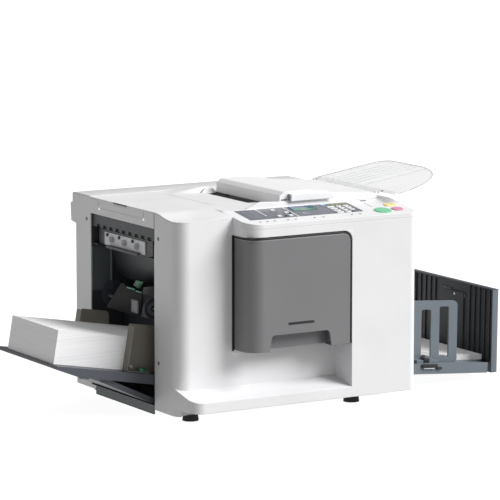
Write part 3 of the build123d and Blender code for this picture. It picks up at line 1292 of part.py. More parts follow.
def ink_cartridge():
    """Ink bottle seated in the drum carrier, its cap to the front."""
    seat = CHEEK_FRONT_Y + WALL - CARRIER_THICKNESS - WALL
    end = seat - CARTRIDGE_LENGTH
    neck = end + CARTRIDGE_CAP_LENGTH
    bottle = rod_y(DRUM_X, DRUM_Z, CARTRIDGE_RADIUS, neck, seat)
    cap = rod_y(DRUM_X, DRUM_Z, CARTRIDGE_RADIUS - CARTRIDGE_CAP_INSET, end, neck)
    reach = CARTRIDGE_RADIUS - CARTRIDGE_CAP_INSET
    flat = reach * 0.7
    for low in (DRUM_Z - BIG, DRUM_Z + flat):
        cap -= block(DRUM_X - reach, DRUM_X + reach, end - 1, end + 10, low, low + BIG - flat)
    return bottle + cap


def drive_motor():
    """Main motor with its pulley, on the back frame plate."""
    start = CHEEK_REAR_END
    motor = rod_y(MOTOR_X, MOTOR_Z, MOTOR_RADIUS, start + 3, start + MOTOR_LENGTH)
    motor += block(MOTOR_X - MOTOR_RADIUS - 6, MOTOR_X + MOTOR_RADIUS + 6, start, start + 3,
                   MOTOR_Z - MOTOR_RADIUS, MOTOR_Z + MOTOR_RADIUS)
    motor += rod_y(MOTOR_X, MOTOR_Z, 9, start + MOTOR_LENGTH, start + MOTOR_LENGTH + 10)
    return motor


def disposal_box():
    """Open-topped box for used masters, with a front grip lip."""
    x0, x1 = BOX_FRONT_X, BOX_FRONT_X + BOX_LENGTH
    y0, y1 = BOX_FRONT_Y, BOX_FRONT_Y + BOX_WIDTH
    box = block(x0, x1, y0, y1, BOX_LOW_Z, BOX_LOW_Z + BOX_HEIGHT)
    wall, low, high = BOX_WALL, BOX_LOW_Z, BOX_LOW_Z + BOX_HEIGHT
    box -= block(x0 + wall, x1 - wall, y0 + wall, y1 - wall, low + wall, high + 1)
    lip_left, lip_y0, lip_y1 = x0 - BOX_GRIP_DEPTH, y0 + BOX_GRIP_INSET, y1 - BOX_GRIP_INSET
    lip = block(lip_left, x0, lip_y0, lip_y1, low, low + wall)
    lip += block(lip_left, lip_left + wall, lip_y0, lip_y1, low - 2 * wall, low + wall)
    return box + lip


def master_roll():
    """Roll of stencil master on its core, carried by the two cheeks."""
    middle = (CHEEK_FRONT_Y + CHEEK_REAR_END) / 2
    half = MASTER_ROLL_WIDTH / 2
    roll = rod_y(MASTER_ROLL_X, MASTER_ROLL_Z, MASTER_ROLL_RADIUS, middle - half, middle + half)
    return roll + rod_y(MASTER_ROLL_X, MASTER_ROLL_Z, CORE_RADIUS, *shaft_span())


def master_cover():
    """Top left cover that wraps over the side edge and lifts on pins at its right."""
    front, back = MASTER_COVER_FRONT, MASTER_COVER_BACK
    right = MASTER_COVER_REACH - MASTER_HINGE_GAP
    outline = [
        (0, MASTER_SKIRT_Z, 0),
        (WALL, MASTER_SKIRT_Z, 0),
        (WALL, TOP_HEIGHT - WALL, 2),
        (right, TOP_HEIGHT - WALL, 0),
        (right, TOP_HEIGHT, 0),
        (0, TOP_HEIGHT, EDGE_RADIUS),
    ]
    cover = prism_y(outline, front, back)
    middle = (front + back) / 2
    half = MASTER_GRIP_LENGTH / 2
    cover -= block(-1, 1.2, middle - half, middle + half, TOP_HEIGHT - 7, TOP_HEIGHT - 3)
    for y0 in master_ear_places():
        ear = prism_y([
            (MASTER_PIN_X - 6, TOP_HEIGHT - WALL, 0),
            (MASTER_PIN_X + 6, TOP_HEIGHT - WALL, 0),
            (MASTER_PIN_X + 6, MASTER_PIN_Z - 6, 4),
            (MASTER_PIN_X - 6, MASTER_PIN_Z - 6, 4),
        ], y0, y0 + MASTER_EAR_WIDTH)
        bore = MASTER_PIN_RADIUS + RUNNING_FIT
        cover += ear - rod_y(MASTER_PIN_X, MASTER_PIN_Z, bore, y0 - 1, y0 + MASTER_EAR_WIDTH + 1)
    return cover


def master_ear_places():
    """Front faces of the two hinge ears of the master cover."""
    return (MASTER_COVER_FRONT + MASTER_EAR_INSET, MASTER_COVER_BACK - MASTER_EAR_INSET - MASTER_EAR_WIDTH)


def feed_side_profile():
    """Level side view of the feed tray: full depth at the casing, thin at the outer tip."""
    top = FEED_PIVOT_Z
    return [
        (-FEED_REACH, top, 1),
        (FEED_INNER_REACH, top, 0),
        (FEED_INNER_REACH, top - 8, 2),
        (0, top - FEED_DEPTH, 6),
        (-FEED_REACH + FEED_TIP_LENGTH, top - FEED_DEPTH + 2, 60),
        (-FEED_REACH, top - FEED_TIP_DEPTH, 3),
    ]


def feed_tray():
    """Paper feed tray, hollow underneath, with shallow grooves for the two guides."""
    tray = prism_y(feed_side_profile(), FEED_FRONT, FEED_BACK)
    top = FEED_PIVOT_Z
    hollow = [
        (-FEED_REACH + FEED_TIP_LENGTH, top - FEED_WALL, 0),
        (-4, top - FEED_WALL, 0),
        (-4, top - BIG, 0),
        (-FEED_REACH + FEED_TIP_LENGTH, top - BIG, 0),
    ]
    tray -= prism_y(hollow, FEED_FRONT + FEED_WALL, FEED_BACK - FEED_WALL)
    return feed_tilt(tray)


def tray_support():
    """Slanting support panel from the tray's underside down to the casing's foot."""
    dx, dz = SUPPORT_TOP_X + SUPPORT_FOOT_X, SUPPORT_TOP_Z - SUPPORT_FOOT_Z
    length = math.hypot(dx, dz)
    nx, nz = dz / length * SUPPORT_THICKNESS, dx / length * SUPPORT_THICKNESS
    outline = [
        (-SUPPORT_TOP_X, SUPPORT_TOP_Z, 0),
        (SUPPORT_FOOT_X, SUPPORT_FOOT_Z, 4),
        (SUPPORT_FOOT_X + nx, SUPPORT_FOOT_Z + nz, 4),
        (-SUPPORT_TOP_X + nx, SUPPORT_TOP_Z + nz, 0),
    ]
    inset = FEED_WALL + 6
    panel = prism_y(outline, FEED_FRONT + inset, FEED_BACK - inset)
    tray_under = feed_tilt(prism_y([
        (-FEED_REACH - BIG, FEED_PIVOT_Z - FEED_WALL, 0),
        (BIG, FEED_PIVOT_Z - FEED_WALL, 0),
        (BIG, FEED_PIVOT_Z + BIG, 0),
        (-FEED_REACH - BIG, FEED_PIVOT_Z + BIG, 0),
    ], 0, BODY_DEPTH))
    reach = [
        (-SUPPORT_TOP_X, SUPPORT_TOP_Z, 0),
        (-SUPPORT_TOP_X + nx, SUPPORT_TOP_Z + nz, 0),
        (-SUPPORT_TOP_X + nx, SUPPORT_TOP_Z + BIG, 0),
        (-SUPPORT_TOP_X, SUPPORT_TOP_Z + BIG, 0),
    ]
    post = prism_y(reach, FEED_FRONT + inset, FEED_BACK - inset)
    return (panel + post) - tray_under


def paper_stack():
    """Loaded paper, its foot on the tray."""
    low = FEED_PIVOT_Z + REST_GAP
    stack = block(-STACK_END, STACK_LENGTH - STACK_END, STACK_FRONT, STACK_FRONT + STACK_WIDTH,
                  low, low + STACK_HEIGHT)
    return feed_tilt(stack)


def feed_guide():
    """Front side guide: an upright plate with an outer lip and a foot, level."""
    inner = STACK_FRONT - REST_GAP
    low = FEED_PIVOT_Z + REST_GAP
    outline = [
        (-GUIDE_LEFT, low, 0),
        (GUIDE_FOOT_RIGHT, low, 0),
        (GUIDE_TOP_RIGHT, low + GUIDE_HEIGHT, 10),
        (-GUIDE_LEFT, low + GUIDE_HEIGHT, 4),
    ]
    guide = prism_y(outline, inner - GUIDE_PLATE, inner)
    guide += block(-GUIDE_LEFT, -GUIDE_LEFT + GUIDE_PLATE, inner - GUIDE_LIP, inner,
                   low, low + GUIDE_HEIGHT - 4)
    guide += block(-GUIDE_LEFT, -GUIDE_PLATE, inner - GUIDE_LIP, inner, low, low + GUIDE_FOOT_THICKNESS)
    return guide


def feed_guide_front():
    """Front side guide, carrying the lock lever's pin."""
    low = FEED_PIVOT_Z + REST_GAP
    pin = rod_z(-LOCK_X, lock_y(), LOCK_PIN_RADIUS, low, low + GUIDE_FOOT_THICKNESS + LOCK_HUB_HEIGHT)
    return feed_tilt(feed_guide() + pin)


def feed_guide_rear():
    """Rear side guide, the front one's mirror image."""
    return feed_tilt(mirror_about(feed_guide(), FEED_CENTRE_Y))


def lock_y():
    """Place of the lock lever's pin across the tray."""
    return STACK_FRONT - REST_GAP - GUIDE_LIP + LOCK_HUB_RADIUS + 1


def guide_lock_lever():
    """Lever with a ring-shaped hub that clamps the guides."""
    low = FEED_PIVOT_Z + REST_GAP + GUIDE_FOOT_THICKNESS + REST_GAP
    lever = rod_z(-LOCK_X, lock_y(), LOCK_HUB_RADIUS, low, low + LOCK_HUB_HEIGHT)
    half = LOCK_ARM_WIDTH / 2
    lever += block(-LOCK_X, -LOCK_X + LOCK_ARM_LENGTH, lock_y() - half, lock_y() + half,
                   low, low + LOCK_HUB_HEIGHT * 0.6)
    lever -= rod_z(-LOCK_X, lock_y(), LOCK_PIN_RADIUS + RUNNING_FIT, low - 1, low + LOCK_HUB_HEIGHT + 1)
    return feed_tilt(lever)


def feed_pressure_lever():
    """Small lever that sets the separation pressure."""
    x0, x1 = PRESSURE_LEVER_X, PRESSURE_LEVER_X + PRESSURE_LEVER_DEPTH
    y, z = PRESSURE_LEVER_Y, PRESSURE_LEVER_Z
    outline = [
        (y - PRESSURE_LEVER_WIDTH / 2, z - 4, 2),
        (y + PRESSURE_LEVER_WIDTH / 2, z - 4, 2),
        (y + PRESSURE_LEVER_WIDTH / 2 - 4, z + PRESSURE_LEVER_HEIGHT - 4, 3),
        (y - PRESSURE_LEVER_WIDTH / 2 + 4, z + PRESSURE_LEVER_HEIGHT - 4, 3),
    ]
    lever = prism_x(outline, x0, x0 + 4) + rod_x(y, z, 7, x0, x1)
    return lever - rod_x(y, z, PRESSURE_PIN_RADIUS + RUNNING_FIT, x0 - 1, x1 + 1)


def receiving_tray():
    """Delivery tray: a shallow rimmed deck, hollow below, open at the outer end."""
    x0, x1 = BODY_WIDTH + REST_GAP, BODY_WIDTH + DELIVERY_REACH
    top = DELIVERY_PIVOT_Z
    low = top - DELIVERY_DEPTH
    wall = DELIVERY_WALL
    tray = block(x0, x1, DELIVERY_FRONT, DELIVERY_BACK, low, top)
    y0, y1 = DELIVERY_FRONT + wall, DELIVERY_BACK - wall
    tray -= block(x0 + wall, x1 + 1, y0, y1, top - DELIVERY_RIM, top + 1)
    tray -= block(x0 + wall, x1 + 1, y0, y1, low - 1, top - DELIVERY_RIM - wall)
    for y in tongue_places():
        half = STOPPER_TONGUE_WIDTH / 2 + REST_GAP
        ceiling = top - DELIVERY_RIM - wall
        floor = ceiling - STOPPER_TONGUE_THICKNESS - 2 * REST_GAP
        start = x1 - STOPPER_TONGUE_LENGTH - 12
        tray += block(start, x1, y - half - wall, y + half + wall, floor - wall, ceiling)
        tray -= block(start + wall, x1 + 1, y - half, y + half, floor, ceiling)
    return seat_on_side(delivery_tilt(tray))


def seat_on_side(shape):
    """Trims a tilted piece where it would enter the casing."""
    return shape - block(BODY_WIDTH - BIG, BODY_WIDTH, 0, BODY_DEPTH, 0, TOP_HEIGHT)


def tongue_places():
    """The two tongues of the stopper across the tray."""
    return (DELIVERY_CENTRE_Y - STOPPER_TONGUE_SPACING / 2, DELIVERY_CENTRE_Y + STOPPER_TONGUE_SPACING / 2)


def printed_sheets():
    """Printed sheets lying on the delivery deck against the stopper."""
    low = DELIVERY_PIVOT_Z - DELIVERY_RIM + REST_GAP
    x1 = STOPPER_FACE_X - upright_shift(low + SHEET_PILE - DELIVERY_PIVOT_Z + DELIVERY_DEPTH) - 2 * REST_GAP
    half = SHEET_WIDTH / 2
    front, back = DELIVERY_CENTRE_Y - half, DELIVERY_CENTRE_Y + half
    return delivery_tilt(block(x1 - SHEET_LENGTH, x1, front, back, low, low + SHEET_PILE))


def side_guide():
    """Front delivery guide: a plate with two tall windows on a clamped foot, level."""
    x0 = BODY_WIDTH + SIDE_PLATE_X
    x1 = x0 + SIDE_PLATE_LENGTH
    low = DELIVERY_PIVOT_Z - DELIVERY_RIM + REST_GAP
    inner, outer = SIDE_PLATE_INNER_Y, SIDE_PLATE_INNER_Y - SIDE_PLATE_THICKNESS
    high = low + SIDE_PLATE_HEIGHT
    plate = prism_y([
        (x0, low, 0),
        (x1, low, SIDE_PLATE_RADIUS),
        (x1 - upright_shift(SIDE_PLATE_HEIGHT), high, SIDE_PLATE_CORNER),
        (x0 - upright_shift(SIDE_PLATE_HEIGHT), high, 0),
    ], outer, inner)
    bar = SIDE_WINDOW_MARGIN
    width = (SIDE_PLATE_LENGTH - 3 * bar) / 2
    for i, drop in enumerate((8, 0)):
        left = x0 + bar + i * (width + bar)
        top = high - SIDE_WINDOW_HIGH + 8 - drop
        shift_low, shift_top = upright_shift(SIDE_WINDOW_LOW), upright_shift(top - low)
        window = [
            (left - shift_low, low + SIDE_WINDOW_LOW, 3),
            (left + width - shift_low, low + SIDE_WINDOW_LOW, 3),
            (left + width - shift_top, top, 5),
            (left - shift_top, top, 5),
        ]
        plate -= prism_y(window, outer - 1, inner + 1)
    foot = block(x0, x0 + SIDE_FOOT_LENGTH, outer - SIDE_FOOT_WIDTH, outer, low, low + SIDE_FOOT_HEIGHT)
    lever_x, lever_z = x0 + SIDE_FOOT_LENGTH / 2, low + SIDE_FOOT_HEIGHT + 6
    lever = rod_y(lever_x, lever_z, 6, outer - SIDE_FOOT_WIDTH + 4, outer)
    return plate + foot + lever


def receiving_guide_front():
    """Front delivery guide."""
    return delivery_tilt(side_guide())


def receiving_guide_rear():
    """Rear delivery guide, the front one's mirror image."""
    return delivery_tilt(mirror_about(side_guide(), DELIVERY_CENTRE_Y))


def paper_stopper():
    """Tall ribbed end stop with flanged edges, on two tongues that slide under the deck."""
    x0 = STOPPER_INNER_X
    x1 = x0 + STOPPER_DEPTH
    low = DELIVERY_PIVOT_Z - DELIVERY_DEPTH
    high = low + STOPPER_HEIGHT
    y0, y1 = DELIVERY_FRONT, DELIVERY_BACK
    wall = STOPPER_WALL
    body = block(x0, x1, y0, y1, low, high)
    floor = DELIVERY_PIVOT_Z - DELIVERY_RIM - DELIVERY_WALL
    hollow = prism_x([
        (y0 + wall, floor, 12),
        (y1 - wall, floor, 12),
        (y1 - wall, high - WALL, 2),
        (y0 + wall, high - WALL, 2),
    ], x0 - 1, x1 - wall)
    body -= hollow
    pitch = (y1 - y0 - 2 * wall) / (STOPPER_RIB_COUNT + 1)
    for i in range(1, STOPPER_RIB_COUNT + 1):
        y = y0 + wall + i * pitch
        if abs(y - DELIVERY_CENTRE_Y) < pitch * 2.6:
            continue
        body += block(x1 - wall - STOPPER_RIB, x1 - wall, y - 1.5, y + 1.5, floor, high - WALL)
    panel_half = pitch * 2.3
    left, right = DELIVERY_CENTRE_Y - panel_half, DELIVERY_CENTRE_Y + panel_half
    body += block(x1 - wall - STOPPER_RIB, x1 - wall, left, right, floor + 20, high - 30)
    foot = Pos(x0, 0, low)
    body = foot * Rot(0, -UPRIGHT_TURN, 0) * foot.inverse() * body
    ceiling = DELIVERY_PIVOT_Z - DELIVERY_RIM - DELIVERY_WALL - REST_GAP
    for y in tongue_places():
        half = STOPPER_TONGUE_WIDTH / 2
        body += block(x0 - STOPPER_TONGUE_LENGTH, x1 - wall, y - half, y + half,
                      ceiling - STOPPER_TONGUE_THICKNESS, ceiling)
    return delivery_tilt(body)


def scanner_frame():
    """Dark scanner tray in the top opening, with the lid's hinge lugs."""
    top = TOP_HEIGHT - SCANNER_SINK
    low = top - SCANNER_DEPTH
    x0, x1, y0, y1 = SCANNER_LEFT, SCANNER_RIGHT, SCANNER_FRONT, SCANNER_BACK
    frame = block(x0, x1, y0, y1, low, top)
    rim = SCANNER_RIM
    frame -= block(x0 + rim, x1 - rim, y0 + rim, y1 - rim - 10, top - GLASS_THICKNESS, top + 1)
    frame -= block(x0 + rim + 6, x1 - rim - 6, y0 + rim + 6, y1 - rim - 16, low + WALL, top + 1)
    collar = block(x0 - WALL, x1 + WALL, y0 - WALL, y1 + WALL, low, TOP_HEIGHT - WALL)
    collar -= block(x0, x1, y0, y1, low - 1, TOP_HEIGHT)
    frame += collar
    ring = SLOT_FLOOR_OVERLAP
    wing = block(SLOT_LEFT - ring, x0, SLOT_FRONT - ring, SLOT_BACK + ring, low, TOP_HEIGHT - WALL)
    wing -= block(SLOT_LEFT, x0 + 1, SLOT_FRONT, SLOT_BACK, low + WALL, TOP_HEIGHT)
    frame -= block(x0 - WALL - 1, x0, SLOT_FRONT, SLOT_BACK, top, TOP_HEIGHT)
    frame += wing
    for x in hinge_places():
        lug = block(x, x + LID_EAR_WIDTH, LID_PIVOT_Y - LID_EAR_RADIUS, LID_PIVOT_Y + LID_EAR_RADIUS,
                    top, LID_PIVOT_Z)
        lug += rod_x(LID_PIVOT_Y, LID_PIVOT_Z, LID_EAR_RADIUS, x, x + LID_EAR_WIDTH)
        bore = LID_PIN_RADIUS + RUNNING_FIT
        frame += lug - rod_x(LID_PIVOT_Y, LID_PIVOT_Z, bore, x - 1, x + LID_EAR_WIDTH + 1)
    return frame


def hinge_places():
    """Left ends of the two lid hinge lugs."""
    return (LID_LEFT + LID_HINGE_INSET, LID_RIGHT - LID_HINGE_INSET - 2 * LID_EAR_WIDTH)


def scanner_glass():
    """Scanner glass, seated in its frame."""
    top = TOP_HEIGHT - SCANNER_SINK
    rim = SCANNER_RIM
    return block(SCANNER_LEFT + rim, SCANNER_RIGHT - rim, SCANNER_FRONT + rim, SCANNER_BACK - rim - 10,
                 top - GLASS_THICKNESS, top)


def lid_outline(inset):
    """Front view of the lid: upright left side, raised head, falling towards the document tray."""
    low = TOP_HEIGHT + LID_LIFT
    left, right = LID_LEFT + inset, LID_RIGHT - inset
    return [
        (left, low - inset, 0),
        (left, LID_SIDE_TOP - inset, 4),
        (left + LID_SHOULDER_WIDTH, LID_CROWN - inset, 10),
        (left + LID_CROWN_WIDTH, LID_CROWN + LID_CROWN_RISE - inset, 40),
        (left + LID_BEND_WIDTH, LID_CROWN - LID_BEND_DROP - inset, 40),
        (left + LID_FALL_WIDTH, LID_CROWN - LID_FALL_DROP - inset, 30),
        (right, LID_RIGHT_TOP - inset, 0),
        (right, low - inset, 0),
    ]


def feeder_lid():
    """Document scanner lid with a front grip block, hinge ears and the tray's lugs."""
    lid = prism_y(lid_outline(0), LID_FRONT, LID_BACK)
    lid -= prism_y(lid_outline(LID_WALL), LID_FRONT + LID_WALL, LID_BACK - LID_WALL)
    right_wall = block(LID_RIGHT - LID_WALL, LID_RIGHT, LID_FRONT, LID_BACK,
                       TOP_HEIGHT + LID_LIFT, LID_RIGHT_TOP - 1)
    lid += right_wall
    grip_right = LID_BLOCK_LEFT + LID_BLOCK_WIDTH
    lid += prism_y([
        (LID_BLOCK_LEFT, LID_BLOCK_LOW, 3),
        (grip_right, LID_BLOCK_LOW, 3),
        (grip_right, LID_BLOCK_HIGH - 4, 3),
        (LID_BLOCK_LEFT, LID_BLOCK_HIGH, 3),
    ], LID_FRONT - LID_BLOCK_REACH, LID_FRONT + 1)
    for x in hinge_places():
        x0 = x + LID_EAR_WIDTH + REST_GAP
        x1 = x0 + LID_EAR_WIDTH - 2 * REST_GAP
        lid += rod_x(LID_PIVOT_Y, LID_PIVOT_Z, LID_EAR_RADIUS, x0, x1)
        lid += block(x0, x1, LID_BACK - LID_WALL, LID_PIVOT_Y, LID_PIVOT_Z, LID_PIVOT_Z + LID_EAR_RADIUS)
        lid += rod_x(LID_PIVOT_Y, LID_PIVOT_Z, LID_PIN_RADIUS, x, x1)
    for y0 in tray_lug_places():
        lug = prism_y([
            (LID_RIGHT - 1, TRAY_PIVOT_Z - 5, 0),
            (TRAY_PIVOT_X + 4, TRAY_PIVOT_Z - 5, 3),
            (TRAY_PIVOT_X + 4, TRAY_PIVOT_Z + 4, 3),
            (LID_RIGHT - 1, TRAY_PIVOT_Z + 1, 0),
        ], y0, y0 + TRAY_LUG_WIDTH)
        bore = TRAY_PIN_RADIUS + RUNNING_FIT
        lid += lug - rod_y(TRAY_PIVOT_X, TRAY_PIVOT_Z, bore, y0 - 1, y0 + TRAY_LUG_WIDTH + 1)
    return lid


def tray_lug_places():
    """Front faces of the two lugs that carry the document tray."""
    return (LID_FRONT + 4, LID_BACK - 4 - TRAY_LUG_WIDTH)


def original_tray():
    """Clear document tray: a leaf-shaped sheet with a rolled hinge edge, rising to the right."""
    start = TRAY_PIVOT_X + 4 + REST_GAP
    end = TRAY_PIVOT_X + TRAY_LENGTH
    nose = TRAY_FRONT + TRAY_NOSE_LENGTH
    top = TRAY_PIVOT_Z + TRAY_SHEET / 2
    low = TRAY_PIVOT_Z - TRAY_SHEET / 2
    with BuildSketch(Plane.XY.offset(low)) as sketch:
        with BuildLine():
            Line((start, TRAY_BACK), (start, TRAY_FRONT))
            ThreePointArc(
                (start, TRAY_FRONT),
                (start + (end - start) * 0.74, TRAY_FRONT + TRAY_NOSE_LENGTH * 0.38),
                (end, nose),
            )
            Line((end, nose), (end, TRAY_BACK - TRAY_CORNER_RADIUS))
            corner = TRAY_CORNER_RADIUS
            RadiusArc((end, TRAY_BACK - corner), (end - corner, TRAY_BACK), -corner)
            Line((end - TRAY_CORNER_RADIUS, TRAY_BACK), (start, TRAY_BACK))
        make_face()
    sheet = extrude(sketch.sketch, TRAY_SHEET, dir=(0, 0, 1))
    lugs = tray_lug_places()
    y0, y1 = lugs[0] + TRAY_LUG_WIDTH + REST_GAP, lugs[1] - REST_GAP
    for lug_y in lugs:
        sheet -= block(start - 1, TRAY_PIVOT_X + TRAY_NOTCH, lug_y - 1, lug_y + TRAY_LUG_WIDTH + 1,
                       low - 1, top + 1)
    sheet += block(TRAY_PIVOT_X, start + 1, y0 + 1, y1 - 1, low, top)
    sheet += rod_y(TRAY_PIVOT_X, TRAY_PIVOT_Z, TRAY_ROLL_RADIUS, y0, y1)
    sheet += rod_y(TRAY_PIVOT_X, TRAY_PIVOT_Z, TRAY_PIN_RADIUS, lugs[0], lugs[1] + TRAY_LUG_WIDTH)
    pivot = Pos(TRAY_PIVOT_X, 0, TRAY_PIVOT_Z)
    return pivot * Rot(0, -TRAY_SLOPE, 0) * pivot.inverse() * sheet


def build_nodes():
    """Every node of the object by name, in the machine frame."""
    makers = [
        base_pan, rubber_feet, front_cover, feed_side_cover, exit_side_cover, rear_cover, top_cover,
        scanner_frame, scanner_glass, panel_housing, panel_overlay, display_window, frame_plates,
        feed_bay_liner, separation_pad, cover_screws, drive_motor, power_inlet, power_switch,
        front_door, door_handle_pocket, door_hinge_pins, drum_screen, drum_flanges, drum_carrier,
        ink_cartridge, pressure_roller, pickup_roller, disposal_box, master_cover, master_roll,
        feed_tray, tray_support, paper_stack, feed_guide_front, feed_guide_rear, guide_lock_lever,
        feed_pressure_lever, receiving_tray, printed_sheets, receiving_guide_front,
        receiving_guide_rear, paper_stopper, feeder_lid, original_tray,
    ]
    nodes = {}
    for maker in makers:
        made = maker()
        nodes[maker.__name__] = made if isinstance(made, list) else [made]
    for name, face in key_faces().items():
        nodes[name] = [key_cap(face)]
    return nodes


def origin_shift(nodes):
    """Move that puts the origin under the middle of the whole object's box."""
    solids = [solid for group in nodes.values() for solid in group]
    box = Compound(children=solids).bounding_box()
    return (-(box.min.X + box.max.X) / 2, -(box.min.Y + box.max.Y) / 2, -box.min.Z)


def main():
    """Writes one file per node."""
    nodes = build_nodes()
    shift = Pos(*origin_shift(nodes))
    os.makedirs("parts", exist_ok=True)
    for name, group in nodes.items():
        solids = [shift * solid for piece in group for solid in piece.solids()]
        shape = solids[0] if len(solids) == 1 else Compound(children=solids)
        export_step(shape, f"parts/{name}.step")


if __name__ == "__main__":
    main()
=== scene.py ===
"""Desktop digital duplicator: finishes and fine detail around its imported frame.

Places are written in the machine's own millimetres: X from the feed side, Y from the front
plane, Z from the floor. Shop turns them into the frame's metres.
"""
from __future__ import annotations

import logging
import math
from dataclasses import dataclass
from enum import Enum
from typing import Sequence

import bpy
from mathutils import Matrix, Vector

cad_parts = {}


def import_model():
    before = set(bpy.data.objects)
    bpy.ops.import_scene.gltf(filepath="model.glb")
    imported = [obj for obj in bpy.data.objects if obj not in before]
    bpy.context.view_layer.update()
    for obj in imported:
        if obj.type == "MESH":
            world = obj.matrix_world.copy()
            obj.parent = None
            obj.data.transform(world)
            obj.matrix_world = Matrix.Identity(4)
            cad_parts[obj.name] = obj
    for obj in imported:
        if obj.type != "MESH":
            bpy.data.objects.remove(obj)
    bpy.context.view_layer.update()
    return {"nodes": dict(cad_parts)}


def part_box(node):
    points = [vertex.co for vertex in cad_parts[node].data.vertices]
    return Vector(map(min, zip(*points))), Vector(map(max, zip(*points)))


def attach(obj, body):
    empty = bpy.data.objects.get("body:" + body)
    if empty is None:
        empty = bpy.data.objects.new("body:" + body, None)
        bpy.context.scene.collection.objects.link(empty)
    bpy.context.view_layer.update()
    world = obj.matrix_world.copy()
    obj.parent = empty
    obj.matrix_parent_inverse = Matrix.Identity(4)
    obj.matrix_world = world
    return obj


LOG = logging.getLogger("duplicator")
MM = 0.001
CORNER_STEPS = 6
SHARP_EDGE = math.radians(30.0)
ALONG_AXIS = 0.99
DRIFT_SCALE = 7.0
WEAR_SCALE = 28.0
GRAIN_HEIGHT = 0.0004
EDGE_SAMPLES = 6

Piece = bpy.types.Object
Node = bpy.types.Node
Point = tuple[float, float, float]
Spot = tuple[float, float]
Colour = tuple[float, float, float]


class Axis(Enum):
    """Direction of a rod or a plate's thickness."""

    X = 0
    Y = 1
    Z = 2


@dataclass(frozen=True)
class Slope:
    """A turn about one of the machine's axes through a pivot.

    Args:
        axis: Axis of the turn.
        degrees: Angle by the right-hand rule.
        pivot: Point that stays, in machine millimetres.
    """

    axis: Axis
    degrees: float
    pivot: Point

    def matrix(self) -> Matrix:
        """Turn about the pivot, in machine millimetres."""
        move = Matrix.Translation(Vector(self.pivot))
        turn = Matrix.Rotation(math.radians(self.degrees), 4, self.axis.name)
        return move @ turn @ move.inverted()


PANEL_SLOPE = Slope(Axis.X, 8.81, (0.0, 0.0, 498.7))
PANEL_ANGLE = math.radians(PANEL_SLOPE.degrees)
DELIVERY_SLOPE = Slope(Axis.Y, 4.4, (662.0, 0.0, 73.5))


class Tilt(Enum):
    """Planes that pieces are laid out on, each with its turns, the first turn last."""

    LEVEL = ()
    PANEL = (PANEL_SLOPE,)
    FEED = (Slope(Axis.Y, 9.9, (0.0, 0.0, 105.0)),)
    DELIVERY = (DELIVERY_SLOPE,)
    STOPPER = (DELIVERY_SLOPE, Slope(Axis.Y, -3.6, (1012.0, 0.0, 45.5)))
    CLEAR = (Slope(Axis.Y, -8.7, (631.0, 0.0, 536.0)),)

    def matrix(self) -> Matrix:
        """Turn that lays level pieces onto the plane, in machine millimetres."""
        matrix = Matrix.Identity(4)
        for slope in self.value:
            matrix = matrix @ slope.matrix()
        return matrix


def steps_round(degrees: float, count: int) -> list[float]:
    """Even turns from zero, in radians.

    Args:
        degrees: Step between two turns.
        count: Number of turns.

    Returns:
        The turns.
    """
    return [math.radians(degrees * i) for i in range(count)]


@dataclass(frozen=True)
class Graph:
    """Nodes of one material.

    Args:
        nodes: Node collection.
        links: Link collection.
        place: Texture coordinate node.
        shader: Principled shader.
    """

    nodes: bpy.types.Nodes
    links: bpy.types.NodeLinks
    place: Node
    shader: Node

    @staticmethod
    def fill(node: Node, values: dict[str, object]) -> None:
        """Sets a node's inputs.

        Args:
            node: The node.
            values: Values by input name.
        """
        for name, value in values.items():
            node.inputs[name].default_value = value

    def add(self, kind: str, values: dict[str, object]) -> Node:
        """Makes a node with its inputs set.

        Args:
            kind: Node type.
            values: Values by input name.

        Returns:
            The new node.
        """
        node = self.nodes.new(kind)
        self.fill(node, values)
        return node

    def noise(self, scale: float, detail: float, source: bpy.types.NodeSocket | None = None) -> Node:
        """Noise on object coordinates, or on another vector.

        Args:
            scale: Frequency per metre.
            detail: Noise detail.
            source: Vector to use in place of the object coordinates.

        Returns:
            The noise node.
        """
        noise = self.add("ShaderNodeTexNoise", {"Scale": scale, "Detail": detail})
        self.links.new(source or self.place.outputs["Object"], noise.inputs["Vector"])
        return noise

    def tint(self, source: Node, stops: Sequence[tuple[float, Sequence[float]]]) -> None:
        """Takes the base colour from a noise node through a ramp.

        Args:
            source: Noise node.
            stops: Place and linear colour of the ramp's two ends.
        """
        ramp = self.nodes.new("ShaderNodeValToRGB")
        for element, (position, colour) in zip(ramp.color_ramp.elements, stops):
            element.position = position
            element.color = (*colour, 1.0)
        self.links.new(source.outputs["Fac"], ramp.inputs["Fac"])
        self.links.new(ramp.outputs["Color"], self.shader.inputs["Base Color"])


